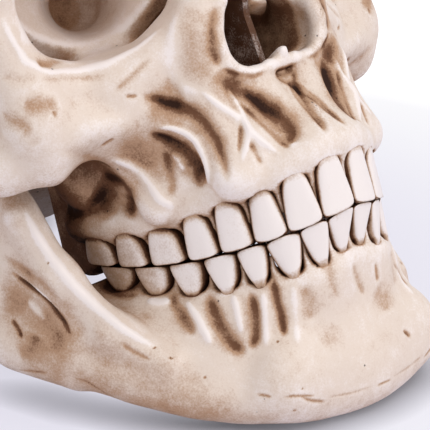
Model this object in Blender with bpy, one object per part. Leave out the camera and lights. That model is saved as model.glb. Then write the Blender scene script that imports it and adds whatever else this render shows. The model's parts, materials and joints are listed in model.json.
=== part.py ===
"""Life-size anatomical skull model: a skull base with seated teeth, a lift-off skull cap and a
sprung, hinged lower jaw. Metres, +Z up, face towards -Y, the skull's left side at +X.

The bones are drawn in the skull's own frame: X across, Y back from the ear holes and Z up from
the plane through the ear holes and the lower rims of the eye sockets. The finished skull is then
tipped back until its chin and its occiput stand on the table together.
"""

import math

import bmesh
import bpy
import numpy as np
import openvdb
from mathutils import Matrix, Vector

# Driving sizes of the face, which all face shares follow
FACE_WIDTH = 0.100  # outer rim to outer rim of the eye sockets
FACE_DEPTH = 0.100  # ear holes to the front of the upper jaw
FACE_HEIGHT = 0.100  # brow ridge to the roots of the lower front teeth

# Braincase
BRAINCASE_BREADTH = 0.142
BRAINCASE_LENGTH = 0.182
BRAINCASE_HEIGHT = 0.118
BRAINCASE_WALL = 0.0070
CAP_CUT_HEIGHT = 0.052
CAP_SEAM = 0.0004

# Feet on the table
FOOT_DEPTH = 0.0010  # how much of the chin and the occiput is ground flat

# Joints of the jaw
CONDYLE_WIDTH = 0.0190
CONDYLE_DEPTH = 0.0090
CONDYLE_HEIGHT = 0.0090
CONDYLE_CLEARANCE = 0.0010

# Dental arch, measured along the outer edge of the bite
ARCH_HALF_WIDTH = 0.0318
ARCH_DEPTH = 0.0520
ARCH_POWER = 1.95
ARCH_FRONT_SHARE = 1.02  # of the face's depth
BITE_DROP = 0.0463  # of its lowest place, below the ear-eye plane
BITE_FRONT_RISE = 0.0022  # from there to the middle
BITE_BACK_RISE = 0.0049  # and to the back of the last molar
BITE_LOW_SHARE = 0.46  # of the upper row's length, to the lowest place
BITE_GAP = 0.0004
TOOTH_GAP = 0.0004
SOCKET_CLEARANCE = 0.0003
ROOT_LENGTH = 0.0070
LOWER_BITE_INSET = 0.0008

# Teeth, from the middle outwards: name, width, crown height, neck depth, edge depth
UPPER_TEETH = (
    ("central_incisor", 0.0090, 0.0119, 0.0068, 0.0022),
    ("lateral_incisor", 0.0084, 0.0113, 0.0066, 0.0022),
    ("canine", 0.0080, 0.0109, 0.0078, 0.0030),
    ("first_premolar", 0.0084, 0.0106, 0.0082, 0.0060),
    ("second_premolar", 0.0083, 0.0096, 0.0084, 0.0064),
    ("first_molar", 0.0102, 0.0080, 0.0100, 0.0088),
    ("second_molar", 0.0094, 0.0074, 0.0100, 0.0088),
    ("third_molar", 0.0100, 0.0062, 0.0096, 0.0084),
)
LOWER_TEETH = (
    ("central_incisor", 0.0080, 0.0082, 0.0060, 0.0020),
    ("lateral_incisor", 0.0071, 0.0088, 0.0060, 0.0020),
    ("canine", 0.0083, 0.0086, 0.0072, 0.0028),
    ("first_premolar", 0.0074, 0.0082, 0.0074, 0.0056),
    ("second_premolar", 0.0084, 0.0078, 0.0080, 0.0062),
    ("first_molar", 0.0092, 0.0074, 0.0096, 0.0084),
    ("second_molar", 0.0099, 0.0068, 0.0096, 0.0084),
    ("third_molar", 0.0106, 0.0060, 0.0094, 0.0082),
)
UPPER_NECK_SHARE = 0.80  # of the crown's width
LOWER_NECK_SHARE = 0.70
EDGE_WIDTH_SHARE = 0.84
EDGE_DEPTH_SHARE = 0.72
BEVEL_SHARE = 0.08  # of the crown's height
WAIST_SHARE = 0.55
ROOT_DEPTH_SHARE = 0.80
ROOT_TIP_SHARE = 0.30
ROOT_LEAN_SHARE = 0.85  # of the root's taper, on its outer side
TOOTH_SIDES = 10
TOOTH_POWER = 2.9
UPPER_FLARE = 0.0010  # the front gum stands this far outside the bite line
LOWER_FLARE = -0.0040
UPPER_FLARE_FADE = 0.030  # arc length over which a flare dies out
LOWER_FLARE_FADE = 0.014

# Nasal septum
SEPTUM_THICKNESS = 0.0018

# Styloid inserts
STYLOID_ROOT_RADIUS = 0.0026
STYLOID_TIP_RADIUS = 0.0011

# Cap magnets and locating pegs
MAGNET_RADIUS = 0.0016
MAGNET_DEPTH = 0.0020
PEG_RADIUS = 0.0013
PEG_LENGTH = 0.0070
PEG_EXPOSED = 0.0025

# Jaw springs and the screws that hold them
WIRE_RADIUS = 0.00035
COIL_RADIUS = 0.00195
COIL_PITCH = 0.00135
COIL_TURNS = 16
POINTS_PER_TURN = 8
RAMP_POINTS = 6  # over which the wire comes in to the spring's axis at each end
SPRING_SCREW_RADIUS = 0.0009
SPRING_HEAD_RADIUS = 0.0022
SPRING_HEAD_LENGTH = 0.0010
SPRING_SCREW_INNER_SHARE = 0.44  # of the face's width, where the screws end inside

# General
FIT_GAP = 0.0003
OVERRUN = 0.0300
SHORT_SHARE = 0.1  # of the overrun, for small holes
TINY = 1.0e-6
SOFT_BLEND = 0.0110
FIRM_BLEND = 0.0046
CRISP_BLEND = 0.0015
FIELD_STEP = 0.0019
SKULL_FACETS = 3900
JAW_FACETS = 1250
PEG_SIDES = 12

# Braincase masses: place and half size, as shares of its breadth, length and height
BRAINCASE_SHARES = (
    ((0.000, 0.077, 0.356), (0.500, 0.412, 0.636)),  # parietal
    ((0.000, -0.154, 0.424), (0.401, 0.363, 0.525)),  # frontal
    ((0.000, 0.286, 0.186), (0.366, 0.209, 0.339)),  # occipital
    ((0.141, 0.262, -0.088), (0.190, 0.143, 0.190)),  # cerebellar
)
# Floor of the braincase: depth and height shares of the face
FLOOR_SHARES = ((-0.90, 0.44), (-0.52, 0.41), (-0.44, 0.28), (-0.34, 0.10), (0.12, 0.09), (0.24, -0.15),
                (0.90, -0.15))

# Face and base masses: place and half size, as shares of the face's width, depth and height
BASE_BALL_SHARES = (
    ((0.00, -0.66, -0.24), (0.27, 0.26, 0.17)),  # upper jaw
    ((0.27, -0.66, -0.08), (0.15, 0.14, 0.12)),  # cheek side of the upper jaw
    ((0.49, -0.645, -0.07), (0.09, 0.085, 0.11)),  # cheekbone
    ((0.00, -0.28, 0.02), (0.18, 0.20, 0.16)),  # sphenoid body
    ((0.00, 0.12, -0.08), (0.42, 0.34, 0.18)),  # skull base
    ((0.50, -0.22, 0.01), (0.11, 0.07, 0.07)),  # articular eminence
    ((0.50, -0.08, 0.07), (0.11, 0.17, 0.08)),  # root of the temple
    ((0.52, 0.04, -0.04), (0.10, 0.07, 0.08)),  # ear rim
    ((0.15, 0.10, -0.25), (0.06, 0.10, 0.05)),  # occipital condyle
    ((0.27, -0.50, -0.21), (0.09, 0.08, 0.10)),  # back of the upper jaw
    ((0.20, -0.70, -0.19), (0.13, 0.155, 0.20)),  # wall over the premolars
)
# Rods: points with a radius, as shares of the face's width, depth, height and width
BASE_ROD_SHARES = (
    ((0.08, -0.90, 0.38, 0.080), (0.20, -0.89, 0.41, 0.075), (0.35, -0.845, 0.435, 0.075),
     (0.47, -0.75, 0.37, 0.065), (0.53, -0.67, 0.26, 0.060), (0.53, -0.63, 0.14, 0.058),
     (0.50, -0.64, 0.02, 0.070)),  # brow and outer rim
    ((0.50, -0.63, 0.03, 0.055), (0.41, -0.66, -0.015, 0.050), (0.31, -0.72, -0.03, 0.050),
     (0.25, -0.77, -0.02, 0.048), (0.20, -0.805, 0.01, 0.048),
     (0.15, -0.84, 0.07, 0.045)),  # lower rim
    ((0.17, -0.85, -0.10, 0.055), (0.165, -0.86, 0.02, 0.045), (0.13, -0.87, 0.12, 0.045),
     (0.09, -0.89, 0.22, 0.045), (0.06, -0.88, 0.33, 0.055)),  # side of the nose
    ((0.00, -0.88, 0.34, 0.060), (0.02, -0.925, 0.24, 0.045), (0.03, -0.975, 0.14, 0.032)),  # nose bones
    ((0.55, -0.555, -0.15, 0.050), (0.48, -0.63, -0.150, 0.050), (0.415, -0.69, -0.125, 0.050),
     (0.365, -0.710, -0.155, 0.046), (0.325, -0.727, -0.215, 0.044),
     (0.292, -0.72, -0.325, 0.042)),  # crest from cheekbone to molars
    ((0.55, -0.555, -0.14, 0.054), (0.62, -0.44, -0.10, 0.042), (0.66, -0.28, -0.05, 0.038),
     (0.65, -0.12, 0.00, 0.042), (0.61, 0.04, 0.03, 0.050), (0.58, 0.20, 0.04, 0.060)),  # cheek arch
    ((0.52, 0.16, -0.06, 0.120), (0.50, 0.15, -0.22, 0.070)),  # mastoid
    ((0.00, -0.20, -0.08, 0.100), (0.00, 0.10, -0.18, 0.090)),  # basal part
    ((0.14, -0.42, -0.10, 0.055), (0.17, -0.38, -0.35, 0.030)),  # pterygoid plate
    ((0.165, -0.838, -0.05, 0.048), (0.180, -0.850, -0.18, 0.050),
     (0.205, -0.885, -0.31, 0.052)),  # canine pillar
    ((0.06, -0.885, -0.145, 0.050), (0.065, -0.945, -0.27, 0.052)),  # wall above the incisors
)
# Hollows of the face: balls and rods in the same shares
ORBIT_BALL_SHARE = ((0.335, -0.78, 0.195), (0.175, 0.24, 0.175))
ORBIT_ROD_SHARES = ((0.30, -0.70, 0.18, 0.130), (0.15, -0.48, 0.15, 0.060))
NOSTRIL_BALL_SHARE = ((0.075, -0.93, -0.03), (0.070, 0.15, 0.060))
NASAL_ROD_SHARES = (
    ((0.045, -0.95, 0.03, 0.082), (0.035, -0.955, 0.09, 0.055), (0.00, -0.96, 0.14, 0.030)),
    ((0.065, -0.81, -0.03, 0.070), (0.060, -0.50, -0.01, 0.075)),
    ((0.00, -0.85, 0.09, 0.055), (0.00, -0.52, 0.12, 0.060)),
    ((0.00, -0.42, -0.04, 0.080), (0.00, -0.36, -0.30, 0.100)),
)
# Raised edge of the nasal opening, laid once the opening is cut
NASAL_RIM_SHARES = (
    ((0.00, -0.870, -0.115, 0.026), (0.00, -0.932, -0.075, 0.014)),  # nasal spine
    ((0.00, -0.922, -0.100, 0.013), (0.040, -0.920, -0.098, 0.013), (0.080, -0.914, -0.103, 0.014),
     (0.120, -0.910, -0.096, 0.015), (0.146, -0.906, -0.070, 0.016), (0.158, -0.906, -0.030, 0.017),
     (0.148, -0.906, 0.030, 0.017), (0.125, -0.912, 0.070, 0.017), (0.102, -0.918, 0.110, 0.016)),  # sill and side
)
CHEEK_SLOPE_BALL_SHARE = ((0.42, -0.80, -0.24), (0.14, 0.14, 0.10))
PALATE_BALL_SHARE = ((0.00, -0.66, -0.44), (0.18, 0.27, 0.13))
TEMPLE_BALL_SHARE = ((0.66, -0.47, 0.16), (0.20, 0.17, 0.20))
EAR_ROD_SHARES = ((0.72, 0.02, -0.01, 0.030), (0.52, 0.01, -0.01, 0.030))
FORAMEN_ROD_SHARES = ((0.00, 0.28, -0.60, 0.155), (0.00, 0.27, 0.10, 0.155))
CONDYLE_SHARE = (0.50, -0.12, -0.04)

# Lower jaw: lower border, then the outline of the ramus in depth and height
BORDER_SHARES = ((0.00, -0.862, -0.812), (0.14, -0.844, -0.812), (0.24, -0.790, -0.789),
                 (0.325, -0.710, -0.744), (0.39, -0.604, -0.677), (0.435, -0.50, -0.612),
                 (0.47, -0.34, -0.540))
RAMUS_OUTLINE_SHARES = ((-0.42, -0.01), (-0.46, -0.10), (-0.49, -0.26), (-0.505, -0.40), (-0.56, -0.56),
                        (-0.48, -0.66), (-0.30, -0.575), (-0.16, -0.51), (-0.10, -0.46), (-0.075, -0.36),
                        (-0.085, -0.18), (-0.085, -0.06), (-0.15, -0.07), (-0.20, -0.15), (-0.27, -0.18),
                        (-0.35, -0.13), (-0.385, -0.02))
# depth and distance from the middle
RAMUS_PLACE_SHARES = ((-0.56, 0.445), (-0.15, 0.500), (0.00, 0.500))
RAMUS_THICKNESS = 0.0064
CHIN_BALL_SHARE = ((0.00, -0.869, -0.784), (0.14, 0.060, 0.076))
CHIN_TUBERCLE_SHARE = ((0.20, -0.842, -0.784), (0.075, 0.056, 0.058))
CHIN_SIDE_SHARE = ((0.18, -0.868, -0.755), (0.085, 0.062, 0.085))
OBLIQUE_ROD_SHARES = ((0.475, -0.475, -0.26, 0.032), (0.452, -0.52, -0.415, 0.036),
                      (0.415, -0.60, -0.565, 0.036), (0.375, -0.69, -0.66, 0.030))
JAW_RIBS = 26
RIB_BLEND = 0.0009
RIB_SINK_SHARE = 0.52  # of a rib's radius, from the gum line to its end
UPPER_RIB_INSET = 0.0046
UPPER_RIB_RADIUS = 0.0052
UPPER_RIB_RISE = 0.0150
UPPER_RIB_LEAN = 0.0100
LOWER_RIB_INSET = 0.0050
LOWER_RIB_RADIUS = 0.0049
LOWER_RIB_SAG = 0.0010  # inwards, halfway down
BORDER_RADIUS = 0.0060

# Places of the fittings, as shares of the face
SEPTUM_OUTLINE_SHARES = ((-0.865, -0.115), (-0.855, 0.02), (-0.88, 0.13), (-0.80, 0.21), (-0.54, 0.20),
                         (-0.50, 0.02), (-0.52, -0.115))
STYLOID_SHARES = ((0.375, 0.03, -0.08), (0.335, -0.04, -0.47))
SPRING_TOP_SHARE = (0.535, -0.38, 0.195)
SPRING_FOOT_SHARE = (0.530, -0.405, -0.085)
MAGNET_ANGLES = (math.radians(90), math.radians(205), math.radians(335))
PEG_ANGLES = (math.radians(20), math.radians(160))

BONE_COLOUR = (0.78, 0.70, 0.56)
TOOTH_COLOUR = (0.86, 0.81, 0.70)
STEEL_COLOUR = (0.62, 0.62, 0.60)
MAGNET_COLOUR = (0.30, 0.30, 0.31)
INSERT_COLOUR = (0.74, 0.66, 0.52)


def face(share):
    """The place of a face share in the skull's frame."""
    return np.array((share[0] * FACE_WIDTH, share[1] * FACE_DEPTH, share[2] * FACE_HEIGHT))


def blend_min(first, second, width):
    """The rounded union of two distance fields."""
    mix = np.clip(0.5 + 0.5 * (second - first) / width, 0.0, 1.0)
    return second + (first - second) * mix - width * mix * (1.0 - mix)


class Bone:
    """Distance field of a bone on one half of the skull, which is mirrored when it is meshed."""

    def __init__(self, low, high):
        self.low = np.array(low)
        counts = np.ceil((np.array(high) - self.low) / FIELD_STEP).astype(int) + 1
        self.axes = [self.low[i] + FIELD_STEP * np.arange(counts[i]) for i in range(3)]
        self.distance = np.full(counts, OVERRUN)

    def window(self, low, high):
        """The part of the grid in a box, and its coordinates."""
        spans = []
        for i in range(3):
            first = int(np.searchsorted(self.axes[i], low[i]))
            last = int(np.searchsorted(self.axes[i], high[i]))
            spans.append(slice(first, max(first, last)))
        x, y, z = (self.axes[i][spans[i]] for i in range(3))
        return tuple(spans), x[:, None, None], y[None, :, None], z[None, None, :]

    def apply(self, shape, low, high, blend, cut=False):
        """Join a shape to the bone, or cut it out."""
        margin = blend + 2.0 * FIELD_STEP
        spans, x, y, z = self.window(np.array(low) - margin, np.array(high) + margin)
        if self.distance[spans].size == 0:
            return
        other = shape(x, y, z)
        here = self.distance[spans]
        if cut:
            self.distance[spans] = -blend_min(-here, other, blend)
        else:
            self.distance[spans] = blend_min(here, other, blend)

    def ball(self, centre, radii, blend, cut=False):
        """Apply an ellipsoid."""
        centre, radii = np.array(centre), np.array(radii)

        def shape(x, y, z):
            p = [(v - c) / r for v, c, r in zip((x, y, z), centre, radii)]
            size = np.sqrt(p[0] ** 2 + p[1] ** 2 + p[2] ** 2)
            slope = np.sqrt((p[0] / radii[0]) ** 2 + (p[1] / radii[1]) ** 2 + (p[2] / radii[2]) ** 2)
            return size * (size - 1.0) / np.maximum(slope, TINY)

        self.apply(shape, centre - radii, centre + radii, blend, cut)

    def rod(self, start, end, start_radius, end_radius, blend, cut=False):
        """Apply a tapered round bar."""
        start, end = np.array(start), np.array(end)
        axis = end - start
        length_squared = float(axis @ axis)
        reach = max(start_radius, end_radius)

        def shape(x, y, z):
            dx, dy, dz = x - start[0], y - start[1], z - start[2]
            along = np.clip((dx * axis[0] + dy * axis[1] + dz * axis[2]) / length_squared, 0.0, 1.0)
            dx, dy, dz = dx - along * axis[0], dy - along * axis[1], dz - along * axis[2]
            gap = np.sqrt(dx * dx + dy * dy + dz * dz)
            return gap - (start_radius + (end_radius - start_radius) * along)

        self.apply(shape, np.minimum(start, end) - reach, np.maximum(start, end) + reach, blend, cut)

    def share_ball(self, share, blend, cut=False):
        """Apply a ball given in face shares."""
        self.ball(face(share[0]), face(share[1]), blend, cut)

    def share_rod(self, shares, blend, cut=False):
        """Apply a chain of rods given in face shares."""
        for a, b in zip(shares, shares[1:]):
            self.rod(face(a), face(b), a[3] * FACE_WIDTH, b[3] * FACE_WIDTH, blend, cut)

    def mesh(self, name, facets):
        """Mesh both halves and thin the result to a number of facets."""
        whole = np.concatenate((self.distance[:0:-1], self.distance)) / FIELD_STEP
        grid = openvdb.FloatGrid(OVERRUN / FIELD_STEP)
        grid.copyFromArray(whole.astype(np.float32))
        points, quads = grid.convertToQuads(isovalue=0.0)
        middle = np.array((len(self.axes[0]) - 1, 0, 0))
        points = (points - middle) * FIELD_STEP + np.array((0.0, self.low[1], self.low[2]))
        data = bpy.data.meshes.new(name)
        data.from_pydata(points.tolist(), [], quads.tolist())
        keep_largest(data)
        shape = bpy.data.objects.new(name, data)
        bpy.context.collection.objects.link(shape)
        smooth = shape.modifiers.new("soften", "SMOOTH")
        smooth.factor = 0.5
        smooth.iterations = 2
        thin = shape.modifiers.new("thin", "DECIMATE")
        thin.ratio = min(1.0, facets / (2.0 * len(data.polygons)))
        thin.use_collapse_triangulate = True
        apply_modifiers(shape)
        return shape


def keep_largest(data):
    """Keep a mesh's largest connected body, with its faces pointing out."""
    work = bmesh.new()
    work.from_mesh(data)
    unseen = set(work.verts)
    bodies = []
    while unseen:
        stack = [unseen.pop()]
        body = list(stack)
        while stack:
            for edge in stack.pop().link_edges:
                for vert in edge.verts:
                    if vert in unseen:
                        unseen.remove(vert)
                        stack.append(vert)
                        body.append(vert)
        bodies.append(body)
    bodies.sort(key=len)
    for body in bodies[:-1]:
        bmesh.ops.delete(work, geom=body, context="VERTS")
    if work.calc_volume(signed=True) < 0.0:
        bmesh.ops.reverse_faces(work, faces=work.faces)
    work.to_mesh(data)
    work.free()


def apply_modifiers(shape):
    """Turn an object's modifiers into its mesh."""
    depsgraph = bpy.context.evaluated_depsgraph_get()
    evaluated = shape.evaluated_get(depsgraph)
    data = bpy.data.meshes.new_from_object(evaluated)
    shape.modifiers.clear()
    shape.data = data


def material(name, colour, roughness, metallic=0.0):
    """A plain surface."""
    made = bpy.data.materials.new(name)
    made.use_nodes = True
    surface = made.node_tree.nodes["Principled BSDF"]
    surface.inputs["Base Color"].default_value = (*colour, 1.0)
    surface.inputs["Roughness"].default_value = roughness
    surface.inputs["Metallic"].default_value = metallic
    return made


def cutter(shape):
    """Mark an object as a tool that only shapes others."""
    shape.hide_render = True
    shape.display_type = "WIRE"
    return shape


def boolean(target, tool, operation="DIFFERENCE"):
    """Cut, keep or join by another object."""
    step = target.modifiers.new(tool.name, "BOOLEAN")
    step.operation = operation
    step.solver = "EXACT"
    step.object = tool


def mesh_object(name, points, faces):
    """An object from points and faces."""
    data = bpy.data.meshes.new(name)
    data.from_pydata([tuple(p) for p in points], [], faces)
    shape = bpy.data.objects.new(name, data)
    bpy.context.collection.objects.link(shape)
    return shape


def loft(name, rings):
    """A closed body through rings of points, listed from its lowest ring up or from its highest down."""
    count = len(rings[0])
    points = [point for ring in rings for point in ring]
    faces = [tuple(range(count)), tuple(range(len(points) - 1, len(points) - count - 1, -1))]
    for ring in range(len(rings) - 1):
        for i in range(count):
            j = (i + 1) % count
            base, top = ring * count, (ring + 1) * count
            faces.append((base + i, top + i, top + j, base + j))
    shape = mesh_object(name, points, faces)
    work = bmesh.new()
    work.from_mesh(shape.data)
    bmesh.ops.recalc_face_normals(work, faces=work.faces)
    work.to_mesh(shape.data)
    work.free()
    return shape


def circle(centre, axis, radius, sides):
    """Points of a ring about an axis."""
    axis = Vector(axis).normalized()
    across = axis.orthogonal().normalized()
    other = axis.cross(across)
    ring = []
    for i in range(sides):
        angle = math.tau * i / sides
        ring.append(Vector(centre) + radius * (math.cos(angle) * across + math.sin(angle) * other))
    return ring


def turned(name, start, axis, profile, sides=PEG_SIDES):
    """A turned body: profile is a list of distance along the axis and radius."""
    axis = Vector(axis).normalized()
    rings = [circle(Vector(start) + axis * along, axis, radius, sides) for along, radius in profile]
    return loft(name, rings)


class DentalArch:
    """The outer line of the bite, by arc length from the middle."""

    def __init__(self):
        steps = 400
        turn = np.linspace(0.0, 0.5 * math.pi, steps)
        x = ARCH_HALF_WIDTH * np.sin(turn) ** (2.0 / ARCH_POWER)
        y = -FACE_DEPTH * ARCH_FRONT_SHARE + ARCH_DEPTH * (1.0 - np.cos(turn) ** (2.0 / ARCH_POWER))
        x = np.append(x, ARCH_HALF_WIDTH)
        y = np.append(y, y[-1] + ARCH_DEPTH)
        self.x, self.y = x, y
        self.s = np.concatenate(([0.0], np.cumsum(np.hypot(np.diff(x), np.diff(y)))))
        slope_x, slope_y = np.gradient(x, self.s), np.gradient(y, self.s)
        size = np.hypot(slope_x, slope_y)
        self.nx, self.ny = -slope_y / size, slope_x / size

    def point(self, s, inset):
        """The place at an arc length, moved inwards."""
        px = np.interp(s, self.s, self.x) + inset * np.interp(s, self.s, self.nx)
        py = np.interp(s, self.s, self.y) + inset * np.interp(s, self.s, self.ny)
        return float(px), float(py)

    def inwards(self, s):
        """The direction inwards at an arc length."""
        return float(np.interp(s, self.s, self.nx)), float(np.interp(s, self.s, self.ny))


ARCH = DentalArch()


def bite_height(s):
    """Height of the bite at an arc length."""
    row = sum(tooth[1] for tooth in UPPER_TEETH)
    low = BITE_LOW_SHARE * row
    if s < low:
        return -BITE_DROP + BITE_FRONT_RISE * (1.0 - s / low) ** 2
    return -BITE_DROP + BITE_BACK_RISE * ((s - low) / (row - low)) ** 2


class Jaw:
    """One row of teeth and the bone that holds it: way is 1 for the upper jaw and -1 for the lower."""

    def __init__(self, teeth, way, front_flare, flare_fade, neck_share, bite_inset):
        self.teeth = teeth
        self.way = way
        self.front_flare = front_flare
        self.flare_fade = flare_fade
        self.neck_share = neck_share
        self.bite_inset = bite_inset
        self.length = sum(tooth[1] for tooth in teeth)

    def crown_height(self, s):
        """Height of the crowns, smooth along the row."""
        ends = np.cumsum([tooth[1] for tooth in self.teeth])
        centres = ends - 0.5 * np.array([tooth[1] for tooth in self.teeth])
        return float(np.interp(s, centres, [tooth[2] for tooth in self.teeth]))

    def gum(self, s):
        """Inset and height of the gum line at an arc length."""
        flare = self.front_flare * math.exp(-((s / self.flare_fade) ** 2))
        return self.bite_inset - flare, bite_height(s) + self.way * self.crown_height(s)

    def tooth_rings(self, start, tooth, side, grow):
        """Rings of a tooth from its biting edge to its root tip; grow gives the socket."""
        _, width, height, neck_depth, edge_depth = tooth
        centre = start + 0.5 * width
        half = 0.5 * (width - TOOTH_GAP)
        gum_inset = self.gum(centre)[0]
        lean = (gum_inset - self.bite_inset) / height
        low = 0.5 * BITE_GAP
        waist = 0.5 * (1.0 + self.neck_share)
        root = 0.5 * (self.neck_share + ROOT_TIP_SHARE)
        # distance from the edge, width share, depth
        stations = (
            (low - grow, EDGE_WIDTH_SHARE, EDGE_DEPTH_SHARE * edge_depth),
            (low + BEVEL_SHARE * height, 1.0, edge_depth),
            (WAIST_SHARE * height, waist, 0.5 * (edge_depth + neck_depth)),
            (height, self.neck_share, neck_depth),
            (height + 0.5 * ROOT_LENGTH, root, ROOT_DEPTH_SHARE * neck_depth),
            (height + ROOT_LENGTH + grow, ROOT_TIP_SHARE, ROOT_TIP_SHARE * neck_depth),
        )
        rings = []
        for along, width_share, depth in stations:
            face_inset = self.bite_inset + lean * along
            if along > height:
                face_inset += ROOT_LEAN_SHARE * (neck_depth - depth)
            middle_inset = face_inset + 0.5 * depth
            ring = []
            for i in range(TOOTH_SIDES):
                angle = math.tau * (i + 0.5) / TOOTH_SIDES
                c, d = math.cos(angle), math.sin(angle)
                across = math.copysign(abs(c) ** (2.0 / TOOTH_POWER), c) * (half * width_share + grow)
                inwards = math.copysign(abs(d) ** (2.0 / TOOTH_POWER), d) * (0.5 * depth + grow)
                s = abs(centre + across)
                px, py = ARCH.point(s, middle_inset + inwards)
                if centre + across < 0.0:
                    px = -px
                ring.append((side * px, py, bite_height(s) + self.way * along))
            rings.append(ring)
        return rings

    def ribs(self, bone, root_point):
        """Ribs of bone from the gum line to root_point(share along the row)."""
        for i in range(JAW_RIBS):
            share = i / (JAW_RIBS - 1)
            s = share * self.length
            inset, height = self.gum(s)
            foot, foot_radius, rib_inset, rib_radius, sag = root_point(share, s)
            px, py = ARCH.point(s, inset + rib_inset)
            top = np.array((px, py, height + self.way * RIB_SINK_SHARE * rib_radius))
            middle = 0.5 * (top + foot) + sag * np.array((*ARCH.inwards(s), 0.0))
            middle_radius = 0.5 * (rib_radius + foot_radius)
            bone.rod(top, middle, rib_radius, middle_radius, RIB_BLEND)
            bone.rod(middle, foot, middle_radius, foot_radius, RIB_BLEND)


UPPER = Jaw(UPPER_TEETH, 1, UPPER_FLARE, UPPER_FLARE_FADE, UPPER_NECK_SHARE, 0.0)
LOWER = Jaw(LOWER_TEETH, -1, LOWER_FLARE, LOWER_FLARE_FADE, LOWER_NECK_SHARE, LOWER_BITE_INSET)


def braincase_mass(share):
    """Place and half size of a braincase mass."""
    size = np.array((BRAINCASE_BREADTH, BRAINCASE_LENGTH, BRAINCASE_HEIGHT))
    return np.array(share[0]) * size, np.array(share[1]) * size


def upper_rib_foot(share, s):
    """Where a rib of the upper jaw ends, its radii and its sag."""
    inset, height = UPPER.gum(s)
    px, py = ARCH.point(s, inset + UPPER_RIB_INSET + UPPER_RIB_LEAN)
    molar = UPPER_RIB_RADIUS + 0.25 * UPPER_RIB_RADIUS * share
    return np.array((px, py, height + UPPER_RIB_RISE)), molar, UPPER_RIB_INSET, UPPER_RIB_RADIUS, 0.0


def border_point(share):
    """A place on the lower jaw's lower border, by share of its way back."""
    places = np.array([face(point) for point in BORDER_SHARES])
    way = np.concatenate(([0.0], np.cumsum(np.linalg.norm(np.diff(places, axis=0), axis=1))))
    way /= way[-1]
    return np.array([np.interp(share, way, places[:, i]) for i in range(3)])


def lower_rib_foot(share, s):
    """Where a rib of the lower jaw ends, its radii and its sag."""
    return border_point(share), BORDER_RADIUS, LOWER_RIB_INSET, LOWER_RIB_RADIUS, LOWER_RIB_SAG


def skull_field():
    """The skull with its cap, before the cap is cut off."""
    margin = 3.0 * FIELD_STEP
    half = max(0.5 * BRAINCASE_BREADTH + margin, 0.70 * FACE_WIDTH)
    front = max(1.05 * FACE_DEPTH, 0.52 * BRAINCASE_LENGTH)
    back = 0.50 * BRAINCASE_LENGTH + margin
    bone = Bone((0.0, -front, -0.50 * FACE_HEIGHT), (half, back, BRAINCASE_HEIGHT + margin))
    for share in BRAINCASE_SHARES:
        bone.ball(*braincase_mass(share), SOFT_BLEND)
    hollow = bone.distance + BRAINCASE_WALL
    for share in BASE_BALL_SHARES:
        bone.share_ball(share, FIRM_BLEND)
    bone.share_ball(TEMPLE_BALL_SHARE, SOFT_BLEND, cut=True)
    for shares in BASE_ROD_SHARES:
        bone.share_rod(shares, FIRM_BLEND)
    UPPER.ribs(bone, upper_rib_foot)
    floor_depths = np.array([share[0] for share in FLOOR_SHARES]) * FACE_DEPTH
    floor_heights = np.array([share[1] for share in FLOOR_SHARES]) * FACE_HEIGHT
    floor = np.interp(bone.axes[1], floor_depths, floor_heights)[None, :, None]
    above_floor = floor - bone.axes[2][None, None, :]
    hollow = -blend_min(-hollow, -above_floor, FIRM_BLEND)
    bone.distance = -blend_min(-bone.distance, hollow, CRISP_BLEND)
    bone.share_ball(ORBIT_BALL_SHARE, CRISP_BLEND, cut=True)
    bone.share_rod(ORBIT_ROD_SHARES, FIRM_BLEND, cut=True)
    bone.share_ball(NOSTRIL_BALL_SHARE, CRISP_BLEND, cut=True)
    for shares in NASAL_ROD_SHARES:
        bone.share_rod(shares, CRISP_BLEND, cut=True)
    bone.share_ball(PALATE_BALL_SHARE, FIRM_BLEND, cut=True)
    bone.share_ball(CHEEK_SLOPE_BALL_SHARE, FIRM_BLEND, cut=True)
    bone.share_rod(EAR_ROD_SHARES, CRISP_BLEND, cut=True)
    bone.share_rod(FORAMEN_ROD_SHARES, CRISP_BLEND, cut=True)
    for shares in NASAL_RIM_SHARES:
        bone.share_rod(shares, CRISP_BLEND)
    condyle = 0.5 * np.array((CONDYLE_WIDTH, CONDYLE_DEPTH, CONDYLE_HEIGHT)) + CONDYLE_CLEARANCE
    bone.ball(face(CONDYLE_SHARE), condyle, CRISP_BLEND, cut=True)
    return bone


def ramus_shape():
    """Distance to the flat plate of the ramus."""
    outline = [np.array((share[0] * FACE_DEPTH, share[1] * FACE_HEIGHT)) for share in RAMUS_OUTLINE_SHARES]
    depths = np.array([share[0] for share in RAMUS_PLACE_SHARES]) * FACE_DEPTH
    places = np.array([share[1] for share in RAMUS_PLACE_SHARES]) * FACE_WIDTH

    def shape(x, y, z):
        near = np.full(np.broadcast(y, z).shape, OVERRUN)
        inside = np.zeros(near.shape, dtype=bool)
        for a, b in zip(outline, outline[1:] + outline[:1]):
            edge = b - a
            along = np.clip(((y - a[0]) * edge[0] + (z - a[1]) * edge[1]) / float(edge @ edge), 0.0, 1.0)
            near = np.minimum(near, np.hypot(y - a[0] - along * edge[0], z - a[1] - along * edge[1]))
            if edge[1] != 0.0:
                spans = (z >= min(a[1], b[1])) & (z < max(a[1], b[1]))
                inside ^= spans & (y < a[0] + (z - a[1]) * edge[0] / edge[1])
        plan = np.where(inside, -near, near) + 0.5 * RAMUS_THICKNESS
        side = np.abs(x - np.interp(y, depths, places))
        outside = np.hypot(np.maximum(plan, 0.0), side) - 0.5 * RAMUS_THICKNESS
        return outside

    low = (places.min() - RAMUS_THICKNESS, min(p[0] for p in outline), min(p[1] for p in outline))
    high = (places.max() + RAMUS_THICKNESS, max(p[0] for p in outline), max(p[1] for p in outline))
    return shape, low, high


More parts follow.
